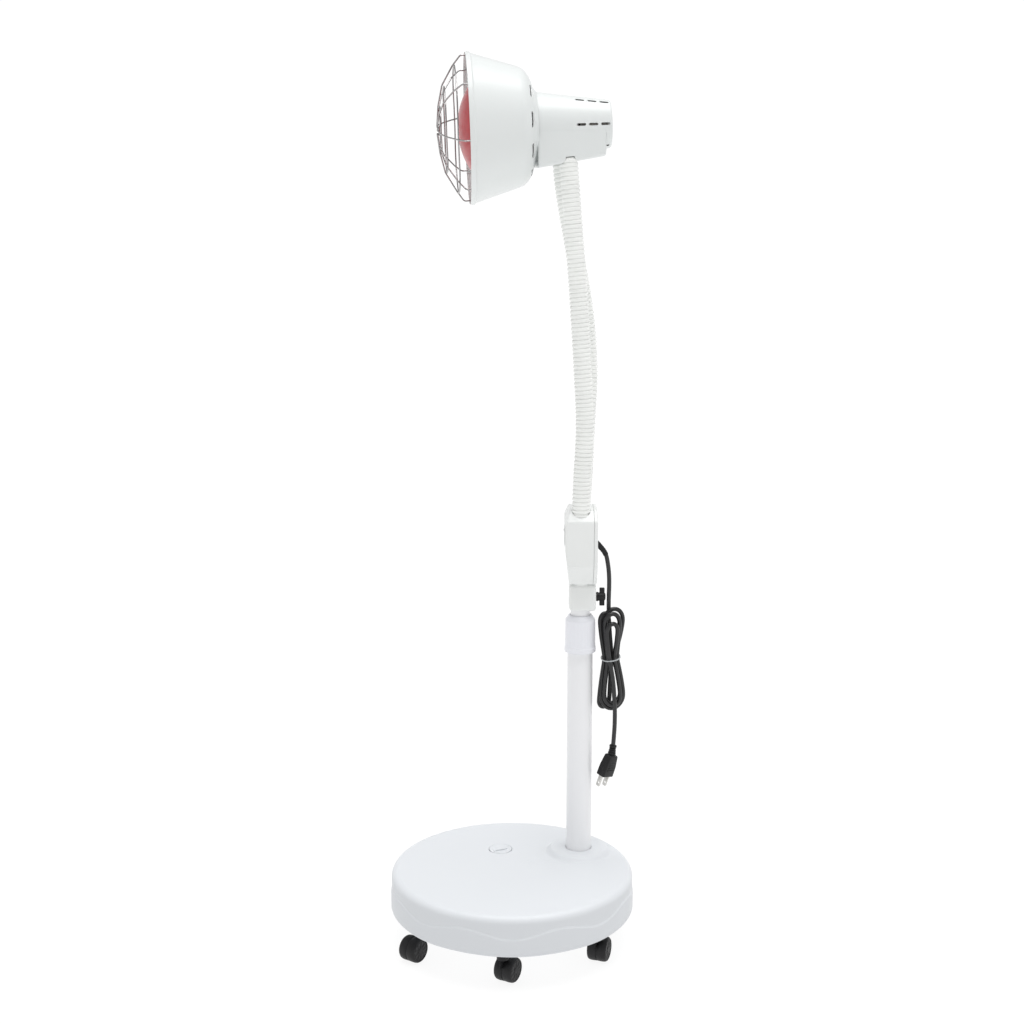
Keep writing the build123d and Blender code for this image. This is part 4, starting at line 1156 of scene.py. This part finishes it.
def saddle_ring(behind, inset):
    """One cross-section: a soft-cornered block that runs up each side and meets the cone at a tangent."""
    r = cone_radius(behind)
    half, drop = r - 4.5 - inset, r + 8 - inset
    corner_turn = atan(half / drop)
    touch = corner_turn + acos(min(1, r / hypot(half, drop)))
    touch_at = (r * sin(touch), -r * cos(touch))
    outline = rounded([touch_at, (half, -drop, 6), (-half, -drop, 6), (-touch_at[0], touch_at[1])], 6, 8)
    outline += [(-0.5 * r, 0), (0.5 * r, 0)]
    return [RIM + (BACK * behind + SIDE * u + UP * v) * MM for u, v in outline]


saddle_steps = [(80.6, 1), (81.2, 0.2), (84, 0), (90, 0)] + [(90 + 17.4 * n, 0) for n in range(1, 5)]
saddle_steps += [(161, 0.5), (162, 1.6), (162.4, 3)]
mount = rings_mesh("mount_saddle", [saddle_ring(*step) for step in saddle_steps], False, True, sharp=50.0)
CONE_GAP = 0.1
cone_profile = [(60, 0), (60, 40.2), (CONE_FROM, CONE_WIDE + CONE_GAP), (CONE_TO, CONE_NARROW + CONE_GAP)]
cone = lathe("cone", cone_profile + [(175, CONE_NARROW + CONE_GAP), (175, 0)], HEAD, 128)
sockets = []
for line in hose_lines:
    along = (line[-1] - line[-9]).normalized()
    sockets.append(rod("socket", -2, 15, 11.5, place((line[-1] - along * 14) * MM, along), 64))
cut(mount, [cone] + sockets)
dress(mount, "head", "shade_white", "shade", "mount_block")

BULB_R = 62.5
DOME_R = 90
DOME_APEX = -11.5
dome_end = asin(BULB_R / DOME_R)
DOME_TURNS = [dome_end * 0.97 * n / 20 for n in range(21)]
dome = [(DOME_APEX + DOME_R - DOME_R * cos(t), DOME_R * sin(t)) for t in DOME_TURNS]
shoulder = rounded([dome[-1], (14.6, 62.6, 6), (20, 62.2)], 6, 6)[1:]
flare_points = [(20, 62.2), (34, 58.5, 20), (52, 51, 40), (74, 40, 40), (96, 29, 40), (112, 22.5, 20)]
flare = rounded(flare_points + [(122, 19.5, 8), (133, 14.5)], 20, 6)
bulb_face = sheet("bulb_face", dome + shoulder, 160, False, 40)
bulb_face.data.materials.append(MAT["ruby"])
bulb_back = sheet("bulb_back", flare, 160, sharp=40)
bulb_back.data.materials.append(MAT["silver"])
bulb = join("reflector_bulb", [bulb_face, bulb_back])
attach(bulb, "head")
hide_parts("bulb_glass")

# The guard: bent wire spokes over round rings, none of them quite true.
WIRE_R = 0.9
SPOKES = 8
SPOKE_TURN = -10
WIRE_BENDS = [(-8, 84.6), (-2, 85.2), (6, 85.2), (15, 73.6), (27.7, 51), (33.5, 27.5), (35.5, 5)]
wires = []
for k in range(SPOKES):
    turn = SPOKE_TURN + 360 * k / SPOKES
    bends = []
    for n, (out, radius) in enumerate(WIRE_BENDS):
        shake = 0 if n < 2 else 1
        bends.append((out + shake * random.uniform(-0.5, 0.5), radius + shake * random.uniform(-0.7, 0.7)))
    wire_line = rounded(bends, 5, 6)
    path = [head_point(-out, turn + random.uniform(-0.15, 0.15), radius) for out, radius in wire_line]
    wires.append(tube("wire", path, WIRE_R * MM, 12))
spokes = join("guard_wires", wires)
dress(spokes, "head", "guard_chrome", "chrome", "guard_spokes")

GUARD_RINGS = (
    ("guard_ring_outer", "guard_hoop_outer", 12.8, 73.8),
    ("guard_ring_middle", "guard_hoop_middle", 25.7, 50),
    ("guard_ring_inner", "guard_hoop_inner", 31.4, 27),
    ("guard_hub", "guard_hoop_hub", 33.4, 6),
)
for node, name, out, radius in GUARD_RINGS:
    phase, wobble = random.uniform(0, tau), 0.006 * radius + 0.1
    path = []
    for n in range(144):
        angle = tau * n / 144
        swing = wobble * sin(3 * angle + phase) + 0.5 * wobble * sin(5 * angle - 2 * phase)
        path.append(head_point(-(out + 0.6 * swing), degrees(angle), radius + swing))
    hoop = tube(name, path, WIRE_R * MM, 12, True)
    dress(hoop, "head", "guard_chrome", "chrome", node)

clips = []
clip_outline = [(-3.4, 0), (3.4, 0), (3.4, 0.8), (-1.6, 0.8), (-2.6, 2), (-3.5, 1.9)]
for turn in (SPOKE_TURN + 90 * k for k in range(4)):
    seat = axes_at(head_point(6.5, turn, 83.6), BACK, radial(turn), BACK.cross(radial(turn)))
    clips.append(prism("clip", clip_outline, -3, 3, seat, 0.25))
dress(join("guard_hooks", clips), "head", "guard_chrome", "steel", "guard_clips")

# --- carried-over nodes ---
KEPT = {
    "base": ["base_floor"],
    "sand": ["ballast"],
    "steel": ["base_screws", "castor_stems", "pole_bolt", "thumb_stud"],
    "nylon": ["pole_plug", "pole_collet", "pole_bush"],
    "seal": ["cap_seal"],
    "ceramic": ["lamp_holder"],
    "thread": ["bulb_cap"],
}
for key, node in ((key, node) for key, nodes in KEPT.items() for node in nodes):
    carried = bpy.data.objects[node]
    if not carried.material_slots:
        carried.data.materials.append(None)
    for slot in carried.material_slots:
        slot.material = MAT[key]
